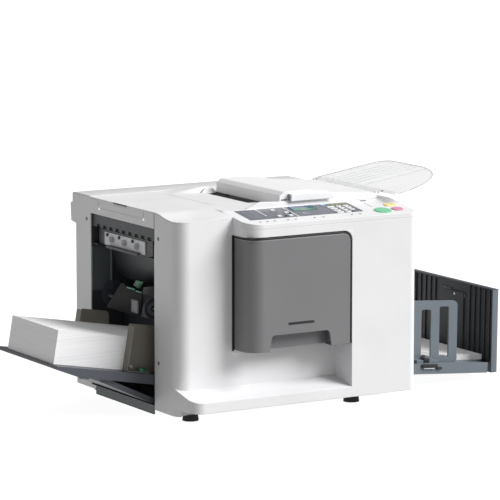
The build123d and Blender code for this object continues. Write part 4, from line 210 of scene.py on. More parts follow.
@dataclass(frozen=True)
class Finish:
    """A moulded, painted or rubber surface with fine grain.

    Args:
        name: Material name.
        slot: Record slot that the finish belongs to; not used by the script.
        colour: Linear base colour.
        roughness: Middle roughness.
        metallic: Metal share.
        grain: Grain frequency per metre.
        depth: Bump strength of the grain.
        drift: Share by which the colour drifts over the surface.
        coat: Clear coat weight.
        edge: Radius of the softened edges in metres.
        specular: Specular level of the shader.
        wear: Share by which the roughness swings.
    """

    name: str
    slot: str
    colour: Colour
    roughness: float = 0.5
    metallic: float = 0.0
    grain: float = 1400.0
    depth: float = 0.05
    drift: float = 0.03
    coat: float = 0.0
    edge: float = 0.0008
    specular: float = 0.5
    wear: float = 0.06

    def build(self) -> bpy.types.Material:
        """Builds the node material.

        Returns:
            The new material.
        """
        material = bpy.data.materials.new(self.name)
        material.use_nodes = True
        tree = material.node_tree
        shader = tree.nodes["Principled BSDF"]
        graph = Graph(tree.nodes, tree.links, tree.nodes.new("ShaderNodeTexCoord"), shader)
        graph.fill(shader, {"Metallic": self.metallic, "Coat Weight": self.coat,
                            "Specular IOR Level": self.specular})
        self._colour(graph)
        self._roughness(graph)
        self._surface(graph)
        self._extra(graph)
        material.diffuse_color = (*self.colour, 1.0)
        return material

    def _colour(self, graph: Graph) -> None:
        """Colour that drifts slowly over the surface."""
        low = [c * (1.0 - self.drift) for c in self.colour]
        high = [min(1.0, c * (1.0 + self.drift)) for c in self.colour]
        graph.tint(graph.noise(DRIFT_SCALE, 3.0), ((0.3, low), (0.7, high)))

    def _roughness(self, graph: Graph) -> None:
        """Roughness with faint handling marks."""
        noise = graph.noise(WEAR_SCALE, 5.0)
        span = graph.add("ShaderNodeMapRange", {"To Min": max(0.02, self.roughness - self.wear),
                                                "To Max": min(1.0, self.roughness + self.wear)})
        graph.links.new(noise.outputs["Fac"], span.inputs["Value"])
        graph.links.new(span.outputs["Result"], graph.shader.inputs["Roughness"])

    def _surface(self, graph: Graph) -> None:
        """Moulding grain over softened edges."""
        noise = graph.noise(self.grain, 2.0)
        bump = graph.add("ShaderNodeBump", {"Strength": self.depth, "Distance": GRAIN_HEIGHT})
        bevel = graph.add("ShaderNodeBevel", {"Radius": self.edge})
        bevel.samples = EDGE_SAMPLES
        graph.links.new(noise.outputs["Fac"], bump.inputs["Height"])
        graph.links.new(bevel.outputs["Normal"], bump.inputs["Normal"])
        graph.links.new(bump.outputs["Normal"], graph.shader.inputs["Normal"])

    def _extra(self, graph: Graph) -> None:
        """Hook for finishes with more to them."""


@dataclass(frozen=True)
class MarkFinish(Finish):
    """Print or small trim, too fine for grain and softened edges."""

    depth: float = 0.0
    edge: float = 0.0


@dataclass(frozen=True)
class ClearFinish(MarkFinish):
    """Clear plastic or glass.

    Args:
        clearness: Share of light that passes straight through.
    """

    clearness: float = 0.55

    def _extra(self, graph: Graph) -> None:
        """See-through share on the shader's own socket."""
        graph.fill(graph.shader, {"Alpha": 1.0 - self.clearness})


@dataclass(frozen=True)
class LitFinish(MarkFinish):
    """Surface with a little light of its own, so that shadows on it stay faint.

    Args:
        glow: Strength of its own light.
    """

    glow: float = 0.07

    def _extra(self, graph: Graph) -> None:
        """Own light on the shader's sockets."""
        graph.fill(graph.shader, {"Emission Color": (1.0, 1.0, 1.0, 1.0), "Emission Strength": self.glow})


@dataclass(frozen=True)
class GlowingSheetFinish(LitFinish):
    """Stacked paper: flat white with the thin dark lines of the sheets' edges, and a little light of its own
    taken over from LitFinish: painted light that keeps the stack's shaded end bright.

    Args:
        pitch: Lines per metre up the stack.
        shade: Darkest share at a line.
        tilt: Turn of the lines about Y in degrees.
    """

    roughness: float = 0.85
    grain: float = 700.0
    depth: float = 0.04
    pitch: float = 900.0
    shade: float = 0.88
    tilt: float = 9.9

    def _colour(self, graph: Graph) -> None:
        """White paper, lined along the sheets."""
        turn = graph.add("ShaderNodeMapping", {"Rotation": (0.0, math.radians(-self.tilt), 0.0),
                                               "Scale": (6.0, 6.0, self.pitch)})
        graph.links.new(graph.place.outputs["Object"], turn.inputs["Vector"])
        lines = graph.noise(1.0, 4.0, turn.outputs["Vector"])
        graph.tint(lines, ((0.32, [c * self.shade for c in self.colour]), (0.5, self.colour)))


WHITE = Finish("white_casing", "body_white", (0.80, 0.80, 0.81), 0.42, edge=0.0022)
DOOR = Finish("door_grey", "door_grey", (0.172, 0.172, 0.177), 0.38, depth=0.06, edge=0.0015)
POCKET = Finish("pocket_grey", "pocket_grey", (0.16, 0.16, 0.168), 0.45, depth=0.04)
PANEL = Finish("panel_slate", "panel_dark", (0.155, 0.165, 0.190), 0.4, depth=0.03, edge=0.0004)
DISPLAY = Finish("display_lens", "display", (0.10, 0.16, 0.24), 0.12, depth=0.0, coat=0.6, edge=0.0003)
KEY_WHITE = Finish("key_white", "key_white", (0.78, 0.78, 0.80), 0.35, depth=0.02, edge=0.0003)
KEY_GREEN = Finish("key_green", "key_green", (0.20, 0.62, 0.36), 0.3, depth=0.02, coat=0.2)
KEY_PINK = Finish("key_pink", "key_pink", (0.68, 0.25, 0.40), 0.3, depth=0.02, coat=0.2)
KEY_YELLOW = Finish("key_yellow", "key_yellow", (0.90, 0.72, 0.22), 0.3, depth=0.02, coat=0.2)
BAY = Finish("bay_black", "bay_dark", (0.030, 0.034, 0.038), 0.5)
BOX = Finish("box_grey", "box_grey", (0.018, 0.020, 0.024), 0.45)
# One tray slate in two copies: the darker one for the feed side, which lies in shade, and the paler one for the
# delivery side, where the light falls; the step between them is painted light and shade.
SLATE = Finish("tray_slate", "tray_slate", (0.056, 0.062, 0.078), 0.42, depth=0.07)
SLATE_LIT = Finish("tray_slate_pale", "tray_slate", (0.138, 0.162, 0.188), 0.42, depth=0.07)
TAUPE = Finish("guide_taupe", "guide_taupe", (0.235, 0.215, 0.180), 0.5)
STOPPER = Finish("stopper_dark", "bay_dark", (0.012, 0.015, 0.018), 0.5)
SCOOP = Finish("scoop_blue", "bay_dark", (0.050, 0.058, 0.080), 0.5)
# Casing white painted darker: painted shade for the rear band, drawn flat though it tilts away from the light.
LEDGE_SHADED = Finish("ledge_white", "body_white", (0.66, 0.66, 0.67), 0.45, edge=0.001)
# Seam grey; the same grey also paints the shadow in the gap under the lid block's front.
SEAM_AND_SHADOW = MarkFinish("seam_grey", "box_grey", (0.16, 0.16, 0.165), 0.6)
LEVER = Finish("lever_green", "lever_green", (0.05, 0.27, 0.14), 0.35, depth=0.03)
# Black rubber; the same black also paints the shadow in the gap round the drum door.
RUBBER_AND_SHADOW = Finish("foot_rubber", "rubber_black", (0.009, 0.009, 0.010), 0.75, grain=2200.0, depth=0.12)
ROLLER = Finish("roller_rubber", "roller_rubber", (0.15, 0.152, 0.165), 0.7, grain=1800.0, depth=0.12)
PAD = Finish("pad_grey", "pad_grey", (0.34, 0.34, 0.36), 0.6, depth=0.08)
STEEL = Finish("screw_steel", "steel", (0.55, 0.55, 0.56), 0.3, metallic=1.0, grain=900.0)
FRAME_STEEL = Finish("frame_zinc", "frame_steel", (0.30, 0.31, 0.32), 0.45, metallic=0.7, grain=300.0,
                     depth=0.08)
PIN = Finish("pin_bright", "pin_steel", (0.65, 0.65, 0.66), 0.18, metallic=1.0, depth=0.02)
MOTOR = Finish("motor_black", "motor_black", (0.03, 0.03, 0.032), 0.35, depth=0.04)
MESH = Finish("drum_mesh", "screen_mesh", (0.38, 0.38, 0.36), 0.35, metallic=0.9, grain=2600.0, depth=0.2)
CARRIER = Finish("carrier_grey", "carrier_grey", (0.17, 0.18, 0.19), 0.45)
INK = Finish("ink_bottle", "ink_bottle", (0.05, 0.05, 0.055), 0.3, depth=0.03, coat=0.2)
SCANNER = Finish("scanner_black", "scanner_dark", (0.028, 0.029, 0.031), 0.5)
FILM = Finish("master_film", "master_film", (0.62, 0.60, 0.52), 0.5, grain=600.0)
# Both paper finishes glow a little: painted light.
GLOWING_PAPER = GlowingSheetFinish("paper_stack", "paper", (0.90, 0.90, 0.91))
GLOWING_SHEETS = GlowingSheetFinish("paper_sheets", "paper", (0.84, 0.84, 0.84), pitch=1400.0, tilt=4.4)
GLASS = ClearFinish("platen_glass", "platen_glass", (0.10, 0.12, 0.12), 0.05, clearness=0.6)
CLEAR = ClearFinish("clear_tray", "clear_tray", (0.93, 0.93, 0.94), 0.12, depth=0.03, edge=0.0004)
CLEAR_EDGE = ClearFinish("clear_edge", "clear_tray", (0.52, 0.53, 0.55), 0.2, clearness=0.25)
CLEAR_RIB = ClearFinish("clear_rib", "clear_tray", (0.62, 0.64, 0.66), 0.2, clearness=0.5)
MARK_WHITE = MarkFinish("mark_white", "key_white", (0.80, 0.80, 0.82))
MARK_DARK = MarkFinish("mark_dark", "panel_dark", (0.05, 0.055, 0.065))
# Grey print; the same grey also paints the shade on the lid block's end face.
MARK_GREY_AND_SHADE = MarkFinish("mark_grey", "box_grey", (0.32, 0.33, 0.35))
MARK_PALE = MarkFinish("mark_pale", "key_white", (0.52, 0.53, 0.56))
# White print that glows a little of its own: painted light, brighter than the white casing in the same light.
MARK_GLOWING = LitFinish("mark_bright", "key_white", (0.80, 0.80, 0.80), glow=0.55)
# Door grey lightened for the door's rounded edge: painted highlight.
DOOR_HIGHLIGHT = MarkFinish("door_edge", "door_grey", (0.30, 0.30, 0.31), 0.45)
# Casing white for the feeder lid with a little light of its own: painted light that lifts its shaded faces.
LID_GLOWING = LitFinish("lid_white", "body_white", (0.80, 0.80, 0.81), 0.42, depth=0.05, edge=0.0022, glow=0.09)
SEAM_DARK = MarkFinish("seam_dark", "box_grey", (0.05, 0.05, 0.055), 0.6)
ARM_BLACK = Finish("arm_black", "scanner_dark", (0.006, 0.006, 0.006), 0.6, depth=0.04, specular=0.2)
# Bay dark lightened for the bay's rear cheek: painted light.
CHEEK_LIT = Finish("cheek_grey", "bay_dark", (0.10, 0.115, 0.125), 0.55)
SILL = Finish("sill_grey", "tray_slate", (0.12, 0.14, 0.14), 0.55)
LIT_TEAL = MarkFinish("lit_teal", "display", (0.010, 0.065, 0.17), 0.3)
LIT_GREEN = MarkFinish("lit_green", "display", (0.05, 0.20, 0.11), 0.3)
KEY_BLUE = Finish("key_blue", "key_white", (0.45, 0.62, 0.78), 0.35, depth=0.02, edge=0.0003)
KEY_OLIVE = Finish("strip_olive", "key_white", (0.19, 0.22, 0.035), 0.4, depth=0.02, edge=0.0003)
FLOOR = LitFinish("studio_floor", "", (0.30, 0.30, 0.30), 0.6, grain=40.0, depth=0.01, glow=0.93)

FINISHED_NODES: dict[Finish, tuple[str, ...]] = {
    FRAME_STEEL: ("base_pan", "frame_plates"),
    RUBBER_AND_SHADOW: ("rubber_feet", "power_inlet"),
    WHITE: ("front_cover", "feed_side_cover", "exit_side_cover", "rear_cover", "top_cover",
            "panel_housing", "master_cover"),
    SCANNER: ("scanner_frame",),
    GLASS: ("scanner_glass",),
    PANEL: ("panel_overlay", "number_key_clear"),
    DISPLAY: ("display_window",),
    BAY: ("feed_bay_liner",),
    PAD: ("separation_pad",),
    STEEL: ("cover_screws",),
    MOTOR: ("drive_motor", "power_switch"),
    DOOR: ("front_door",),
    POCKET: ("door_handle_pocket",),
    PIN: ("door_hinge_pins",),
    MESH: ("drum_screen",),
    CARRIER: ("drum_flanges", "drum_carrier"),
    INK: ("ink_cartridge",),
    ROLLER: ("pressure_roller", "pickup_roller"),
    BOX: ("disposal_box",),
    FILM: ("master_roll",),
    SLATE: ("feed_tray", "tray_support"),
    GLOWING_PAPER: ("paper_stack",),
    TAUPE: ("feed_guide_front", "feed_guide_rear"),
    LEVER: ("guide_lock_lever", "feed_pressure_lever"),
    SLATE_LIT: ("receiving_tray", "receiving_guide_front", "receiving_guide_rear"),
    GLOWING_SHEETS: ("printed_sheets",),
    STOPPER: ("paper_stopper",),
    LID_GLOWING: ("feeder_lid",),
    CLEAR: ("original_tray",),
    KEY_GREEN: ("start_key",),
    KEY_PINK: ("stop_key",),
    KEY_YELLOW: ("test_key",),
}


class Paint:
    """Keeps each finish's material, built once."""

    def __init__(self) -> None:
        """Starts with nothing mixed."""
        self._mixed: dict[str, bpy.types.Material] = {}

    def of(self, finish: Finish) -> bpy.types.Material:
        """Material of a finish.

        Args:
            finish: The finish wanted.

        Returns:
            Its material.
        """
        if finish.name not in self._mixed:
            self._mixed[finish.name] = finish.build()
        return self._mixed[finish.name]

    def coat(self, piece: Piece, finish: Finish) -> None:
        """Gives a whole piece one finish.

        Args:
            piece: Mesh object.
            finish: Finish to give it.
        """
        piece.data.materials.clear()
        piece.data.materials.append(self.of(finish))


@dataclass
class Shop:
    """Makes pieces by hand tools and hands them over to the frame.

    Args:
        paint: Materials.
        origin: Row position of the machine's zero, in metres.
    """

    paint: Paint
    origin: Vector

    def row(self, point: Sequence[float]) -> Vector:
        """Machine millimetres to row metres."""
        return self.origin + Vector(point) * MM

    @staticmethod
    def bring(name: str, data: bpy.types.ID) -> Piece:
        """Puts a new object in the scene.

        Args:
            name: Its name.
            data: Its curve, mesh, camera or light.

        Returns:
            The new object.
        """
        piece = bpy.data.objects.new(name, data)
        bpy.context.scene.collection.objects.link(piece)
        return piece

    @staticmethod
    def pick(piece: Piece) -> None:
        """Makes a piece the only selected and the active one.

        Args:
            piece: Object to pick.
        """
        bpy.ops.object.select_all(action="DESELECT")
        piece.select_set(True)
        bpy.context.view_layer.objects.active = piece

    def settle(self, piece: Piece) -> None:
        """Applies a piece's place to its mesh.

        Args:
            piece: Object to settle at the origin.
        """
        self.pick(piece)
        bpy.ops.object.transform_apply(location=True, rotation=True, scale=True)

    def tube(self, points: Sequence[Point], radius: float) -> Piece:
        """Round tube along points.

        Args:
            points: Centreline in machine millimetres.
            radius: Tube radius.

        Returns:
            The new mesh object, at the origin.
        """
        curve = bpy.data.curves.new("tube", "CURVE")
        curve.dimensions = "3D"
        curve.bevel_depth = radius * MM
        curve.bevel_resolution = 3
        line = curve.splines.new("POLY")
        line.points.add(len(points) - 1)
        for knot, place in zip(line.points, points):
            knot.co = (*self.row(place), 1.0)
        self.pick(self.bring("tube", curve))
        bpy.ops.object.convert(target="MESH")
        bpy.ops.object.shade_smooth()
        return bpy.context.object

    def prism(self, axis: Axis, outline: Sequence[Spot], low: float, high: float) -> Piece:
        """Solid with a straight-sided outline, between two planes across an axis.

        Args:
            axis: Direction of its thickness.
            outline: Corners in the two other axes, in the order X, Y, Z.
            low: Lowest place along the axis.
            high: Highest place.

        Returns:
            The new object, at the origin.
        """
        count = len(outline)
        points = [self.row((*corner[:axis.value], place, *corner[axis.value:]))
                  for place in (low, high) for corner in outline]
        sides = [(i, (i + 1) % count, (i + 1) % count + count, i + count) for i in range(count)]
        mesh = bpy.data.meshes.new("prism")
        mesh.from_pydata(points, [], [tuple(reversed(range(count))), tuple(range(count, 2 * count)), *sides])
        piece = self.bring("prism", mesh)
        self.pick(piece)
        bpy.ops.object.mode_set(mode="EDIT")
        bpy.ops.mesh.select_all(action="SELECT")
        bpy.ops.mesh.normals_make_consistent(inside=False)
        bpy.ops.object.mode_set(mode="OBJECT")
        return piece

    def rod(self, start: Point, axis: Axis, radius: float, length: float, sides: int = 40,
            cone: float = 1.0) -> Piece:
        """Round bar from a start point along an axis.

        Args:
            start: Centre of the first end, machine millimetres.
            axis: Direction of the bar.
            radius: Radius of the first end.
            length: Length along the axis, negative to go back.
            sides: Facets around.
            cone: Share of the radius at the far end.

        Returns:
            The new object, applied.
        """
        direction = Vector([1.0 if i == axis.value else 0.0 for i in range(3)]) * (1 if length > 0 else -1)
        centre = Vector(start) + direction * abs(length) / 2
        bpy.ops.mesh.primitive_cone_add(vertices=sides, radius1=radius * MM, radius2=radius * cone * MM,
                                        depth=abs(length) * MM, location=self.row(centre))
        piece = bpy.context.object
        piece.rotation_euler = direction.to_track_quat("Z", "Y").to_euler()
        self.settle(piece)
        return piece

    def soften(self, piece: Piece, width: float, segments: int) -> None:
        """Rounds a piece's sharp edges with an applied bevel.

        Args:
            piece: Mesh object.
            width: Bevel width in millimetres.
            segments: Steps around the edge.
        """
        self.pick(piece)
        bevel = piece.modifiers.new("soften", "BEVEL")
        bevel.width = width * MM
        bevel.segments = segments
        bevel.limit_method = "ANGLE"
        bevel.angle_limit = SHARP_EDGE
        bpy.ops.object.modifier_apply(modifier=bevel.name)
        bpy.ops.object.shade_smooth_by_angle(angle=SHARP_EDGE)

    def upright_corners(self, piece: Piece, axis: Axis, width: float) -> None:
        """Rounds only the four edges that run along an axis.

        Args:
            piece: Mesh object.
            axis: Direction of the edges.
            width: Radius in millimetres.
        """
        self.pick(piece)
        for edge in piece.data.edges:
            ends = [piece.data.vertices[i].co for i in edge.vertices]
            way = (ends[1] - ends[0]).normalized()
            edge.select = abs(way[axis.value]) > ALONG_AXIS
        bpy.ops.object.mode_set(mode="EDIT")
        bpy.ops.mesh.select_mode(type="EDGE")
        bpy.ops.mesh.bevel(offset=width * MM, segments=CORNER_STEPS, affect="EDGES")
        bpy.ops.object.mode_set(mode="OBJECT")

    def hand_over(self, piece: Piece, name: str, body: str, finish: Finish,
                  tilt: Tilt = Tilt.LEVEL, soft: float = 0.0, steps: int = 3) -> None:
        """Rounds, names, finishes and mounts a piece.

        Args:
            piece: Mesh object.
            name: Piece name.
            body: CAD body that it rides on.
            finish: Its finish.
            tilt: Plane to lean it onto from level.
            soft: Width of its rounded edges in millimetres.
            steps: Steps around those edges.
        """
        if soft:
            self.soften(piece, soft, steps)
        if tilt is not Tilt.LEVEL:
            scale = Matrix.Translation(self.origin) @ Matrix.Scale(MM, 4)
            piece.data.transform(scale @ tilt.matrix() @ scale.inverted())
        piece.name = name
        piece.data.name = name
        self.paint.coat(piece, finish)
        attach(piece, body)
        LOG.info("%s on %s", name, body)

    def plate(self, name: str, body: str, finish: Finish, low: Point, high: Point,
              tilt: Tilt = Tilt.LEVEL, corner: float = 0.0, along: Axis = Axis.Z, soft: float = 0.0) -> None:
        """Makes and mounts a flat plate with rounded corners.

        Args:
            name: Piece name.
            body: CAD body.
            finish: Finish.
            low: Lowest corner before the tilt, in machine millimetres.
            high: Highest corner.
            tilt: Plane that it lies on.
            corner: Corner radius in millimetres.
            along: Direction of its thickness.
            soft: Width of the rounded rim.
        """
        a, b = self.row(low), self.row(high)
        bpy.ops.mesh.primitive_cube_add(size=1.0, location=(a + b) / 2)
        piece = bpy.context.object
        piece.scale = b - a
        self.settle(piece)
        if corner:
            self.upright_corners(piece, along, corner)
        self.hand_over(piece, name, body, finish, tilt, soft)


@dataclass
class Casing:
    """White covers: seams, grip slit, painted shadow in the door's gap and the marks on the left side."""

    shop: Shop
    cover_front: float = 257.5
    cover_back: float = 500.0
    grip_front: float = 344.0
    grip_back: float = 419.0
    arrow_reach: float = 2.8
    screws: tuple[Spot, ...] = ((181.0, 455.0), (181.0, 138.0), (565.0, 460.0))
    corner_radius: float = 25.5
    corner_centre: Spot = (436.8, 440.8)
    corner_margin: float = 0.4

    def build(self) -> None:
        """Adds the casing's fine detail."""
        self.grip()
        self.marks()
        self.seams()
        self.shadow_gap()
        # Flat rear ledge in the darker white: painted shade.
        self.shop.plate("rear_ledge", "machine", LEDGE_SHADED, (2.0, 550.0, 519.6), (660.0, 642.5, 521.6), soft=0.9)

    def grip(self) -> None:
        """Dark grip slit along the top edge of the master cover, over a white lip."""
        self.shop.plate("master_grip_slit", "master_cover", RUBBER_AND_SHADOW, (-0.3, self.grip_front, 517.0),
                        (3.0, self.grip_back, 519.8), corner=1.2, along=Axis.X, soft=0.4)
        self.shop.plate("master_grip_lip", "master_cover", WHITE, (-0.2, self.grip_front - 2.0, 512.8),
                        (1.3, self.grip_back, 516.6), corner=1.4, along=Axis.X, soft=0.4)

    def marks(self) -> None:
        """Small raised white arrow marks at the ends of the master cover, glowing a little: painted light."""
        for index, (y, z) in enumerate(((self.cover_front - 0.8, 494.9), (self.cover_back - 5.9, 494.0))):
            piece = self.shop.rod((0.3, y, z), Axis.X, 5.5, -self.arrow_reach, sides=3, cone=0.2)
            self.shop.hand_over(piece, f"side_arrow_{index + 1}", "machine", MARK_GLOWING, soft=0.3, steps=2)

    def seams(self) -> None:
        """Parting lines on the left side, rings round its screws and the dark sill under the port."""
        self.shop.plate("side_seam", "machine", SEAM_DARK, (-0.15, 200.4, 436.0), (0.5, 202.6, 516.5),
                        corner=0.8, along=Axis.X)
        for index, y in enumerate((self.cover_front - 2.0, self.cover_back - 1.4)):
            self.shop.plate(f"cover_end_line_{index + 1}", "machine", SEAM_AND_SHADOW, (-0.12, y, 499.5),
                            (0.5, y + 1.3, 516.0), corner=0.5, along=Axis.X)
        for index, (y, z) in enumerate(self.screws):
            ring = self.shop.rod((0.3, y, z), Axis.X, 5.2, -0.5, sides=32)
            self.shop.hand_over(ring, f"screw_well_{index + 1}", "machine", SEAM_AND_SHADOW, soft=0.15, steps=2)
        self.shop.plate("port_sill", "machine", SILL, (-0.3, 204.0, 3.0), (0.6, 516.0, 24.0), corner=2.0,
                        along=Axis.X)

    def shadow_gap(self) -> None:
        """Black strips around the door's place: painted shadow of the gap between door and casing. Also the
        white corner that they follow.
        """
        strips = {
            "top": ((158.0, -0.1, 464.2), (437.0, 20.0, 466.9)),
            "right": ((458.7, 0.2, 176.0), (462.4, 24.0, 441.0)),
            "corner": ((436.0, 5.0, 440.0), (462.6, 7.0, 466.6)),
            "left": ((154.9, 79.5, 171.0), (163.0, 81.0, 466.0)),
        }
        for place, (low, high) in strips.items():
            self.shop.plate(f"door_gasket_{place}", "machine", RUBBER_AND_SHADOW, low, high, soft=0.4)
        x, z = self.corner_centre
        arc = [(x + self.corner_radius * math.cos(turn), z + self.corner_radius * math.sin(turn))
               for turn in steps_round(10.0, 10)]
        far = self.corner_radius + self.corner_margin
        filler = self.shop.prism(Axis.Y, arc + [(x, z + far), (x + far, z + far), (x + far, z)], -0.1, 4.8)
        self.shop.hand_over(filler, "header_corner", "machine", WHITE, soft=0.2, steps=2)


@dataclass
class ControlPanel:
    """Marks, strips and legends on the sloping panel."""

    shop: Shop
    surface: float = 498.7
    lift: float = 0.35
    pad_front: float = 48.5
    pad_pitch: float = 15.8
    digit_size: float = 9.0
    digit_bold: float = 0.1
    digit_rise: float = 0.15
    tick_places: tuple[float, ...] = (201.6, 222.0, 244.0, 282.7, 305.0, 361.0, 387.0, 471.7, 496.7)

    def along(self, y: float) -> float:
        """Level distance before the tilt for a horizontal distance from the front."""
        return y / math.cos(PANEL_ANGLE)

    def strip(self, name: str, finish: Finish, x0: float, x1: float, y0: float, y1: float,
              corner: float = 0.8, lift: float = 0.0) -> None:
        """A thin strip lying on the panel.

        Args:
            name: Piece name.
            finish: Finish.
            x0: Left edge.
            x1: Right edge.
            y0: Front edge, horizontal distance.
            y1: Back edge.
            corner: Corner radius.
            lift: Extra height.
        """
        low = (x0, self.along(y0), self.surface - 0.2)
        high = (x1, self.along(y1), self.surface + self.lift + lift)
        self.shop.plate(name, "machine", finish, low, high, Tilt.PANEL, corner)

    def build(self) -> None:
        """Adds everything that shows on the panel."""
        self.screen()
        self.strip("panel_divider", MARK_WHITE, 328.6, 332.0, 42.2, 127.6, 0.8, 0.3)
        self.strip("mode_key_blue", KEY_BLUE, 439.0, 454.0, 115.5, 123.5, 1.5, 0.9)
        self.strip("mode_strip_olive", KEY_OLIVE, 464.0, 514.0, 108.5, 115.5, 1.5, 0.5)
        for row in range(4):
            y = self.pad_front + self.pad_pitch * row
            self.strip(f"side_key_{row + 1}", KEY_WHITE, 445.5, 456.0, y - 4.6, y + 4.6, 1.5, 1.2)
        self.strip("mode_bar_white", MARK_WHITE, 245.5, 250.5, 67.0, 127.0, 1.2)
        self.strip("lamp_block_grey", SEAM_AND_SHADOW, 566.0, 582.0, 123.5, 129.5, 1.2)
        self.strip("mark_line", MARK_GREY_AND_SHADE, 565.5, 567.0, 69.0, 110.0, 0.5)
        self.ovals()
        self.lamps()
        self.legends()
        self.rings()

    def screen(self) -> None:
        """Lit areas of the display, with rows of plain print."""
        self.strip("screen_back", LIT_TEAL, 343.5, 412.5, 107.5, 123.0, 1.2, 0.2)
        self.strip("screen_front", LIT_GREEN, 343.5, 412.5, 90.0, 106.0, 1.2, 0.2)
        for index in range(4):
            y = 93.0 + index * 8.0
            right = 396.0 - 6.0 * (index % 2)
            self.strip(f"screen_row_{index + 1}", MARK_WHITE, 347.0, right, y, y + 1.6, 0.5, 0.35)

    def ovals(self) -> None:
        """Small oval mode keys and dark lamps on the left part of the overlay."""
        keys = ((290.5, 108.2), (315.3, 80.4), (313.0, 54.3), (280.4, 56.3))
        for index, (x, y) in enumerate(keys):
            self.strip(f"mode_oval_{index + 1}", MARK_WHITE, x - 7.0, x + 7.0, y - 3.2, y + 3.2, 3.0, 0.8)
        for index, (x, y) in enumerate(((323.0, 75.0), (298.0, 54.0))):
            self.strip(f"mode_spot_{index + 1}", MARK_DARK, x - 2.5, x + 2.5, y - 2.5, y + 2.5, 2.4, 0.9)

    def lamps(self) -> None:
        """Rows of small lamps and print marks beside the mode keys and along the front."""
        for column in range(3):
            x = 258.0 + column * 30.0
            for row in range(3):
                y = 50.0 + row * 26.0
                self.strip(f"lamp_{column}_{row}", MARK_GREY_AND_SHADE, x - 2.0, x + 2.0, y + 9.0, y + 11.5, 1.0)
        for index, x in enumerate(self.tick_places):
            self.strip(f"front_tick_{index + 1}", MARK_GREY_AND_SHADE, x - 0.6, x + 5.0, 20.0, 24.0, 1.4, -0.1)
        for row in range(5):
            for column in range(2):
                x, y = 202.0 + column * 17.0, 58.0 + row * 13.0
                right = x + 12.0 - 3.0 * (row % 2)
                self.strip(f"side_print_{row + 1}_{column + 1}", MARK_GREY_AND_SHADE, x, right, y, y + 1.6, 0.6, -0.05)
        for row in range(2):
            y = 62.0 + row * 7.0
            left, right = 352.0 + row * 4.0, 376.0 - row * 8.0
            self.strip(f"arc_print_{row + 1}", MARK_PALE, left, right, y, y + 1.6, 0.6, -0.05)

    def legends(self) -> None:
        """Digits on the number pad."""
        for label in ("star", "0", "clear", *"789456123"):
            self.legend(label, {"star": "*", "clear": "C"}.get(label, label))

    def legend(self, label: str, glyph: str) -> None:
        """One raised character on its key.

        Args:
            label: Last part of the key's node name.
            glyph: Character to draw.
        """
        node = f"number_key_{label}"
        low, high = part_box(node)
        bpy.ops.object.text_add()
        text = bpy.context.object
        text.data.body = glyph
        text.data.size = self.digit_size * MM
        text.data.offset = self.digit_bold * MM
        text.data.extrude = self.digit_rise * MM
        text.data.align_x = text.data.align_y = "CENTER"
        bpy.ops.object.convert(target="MESH")
        text = bpy.context.object
        centre = (low + high) / 2
        text.rotation_euler = (PANEL_ANGLE, 0.0, 0.0)
        back_rise = (high.y - centre.y - 1.2 * MM) * math.tan(PANEL_ANGLE)
        text.location = (centre.x, centre.y, high.z - back_rise + 0.02 * MM)
        self.shop.settle(text)
        self.shop.hand_over(text, f"digit_{label}", node, MARK_DARK)

    def rings(self) -> None:
        """Shallow rings around the round keys."""
        for name, radius in (("start_key", 24.5), ("stop_key", 17.5)):
            low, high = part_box(name)
            centre = (low + high) / 2
            bpy.ops.mesh.primitive_torus_add(major_radius=radius * MM, minor_radius=1.0 * MM, major_segments=64,
                                             minor_segments=10)
            ring = bpy.context.object
            ring.scale = (1.0, 1.0, 0.5)
            ring.rotation_euler = (PANEL_ANGLE, 0.0, 0.0)
            rise = (centre.y - self.shop.origin.y) * math.tan(PANEL_ANGLE)
            ring.location = (centre.x, centre.y, self.surface * MM + rise)
            self.shop.settle(ring)
            self.shop.hand_over(ring, f"{name}_ring", "machine", WHITE)


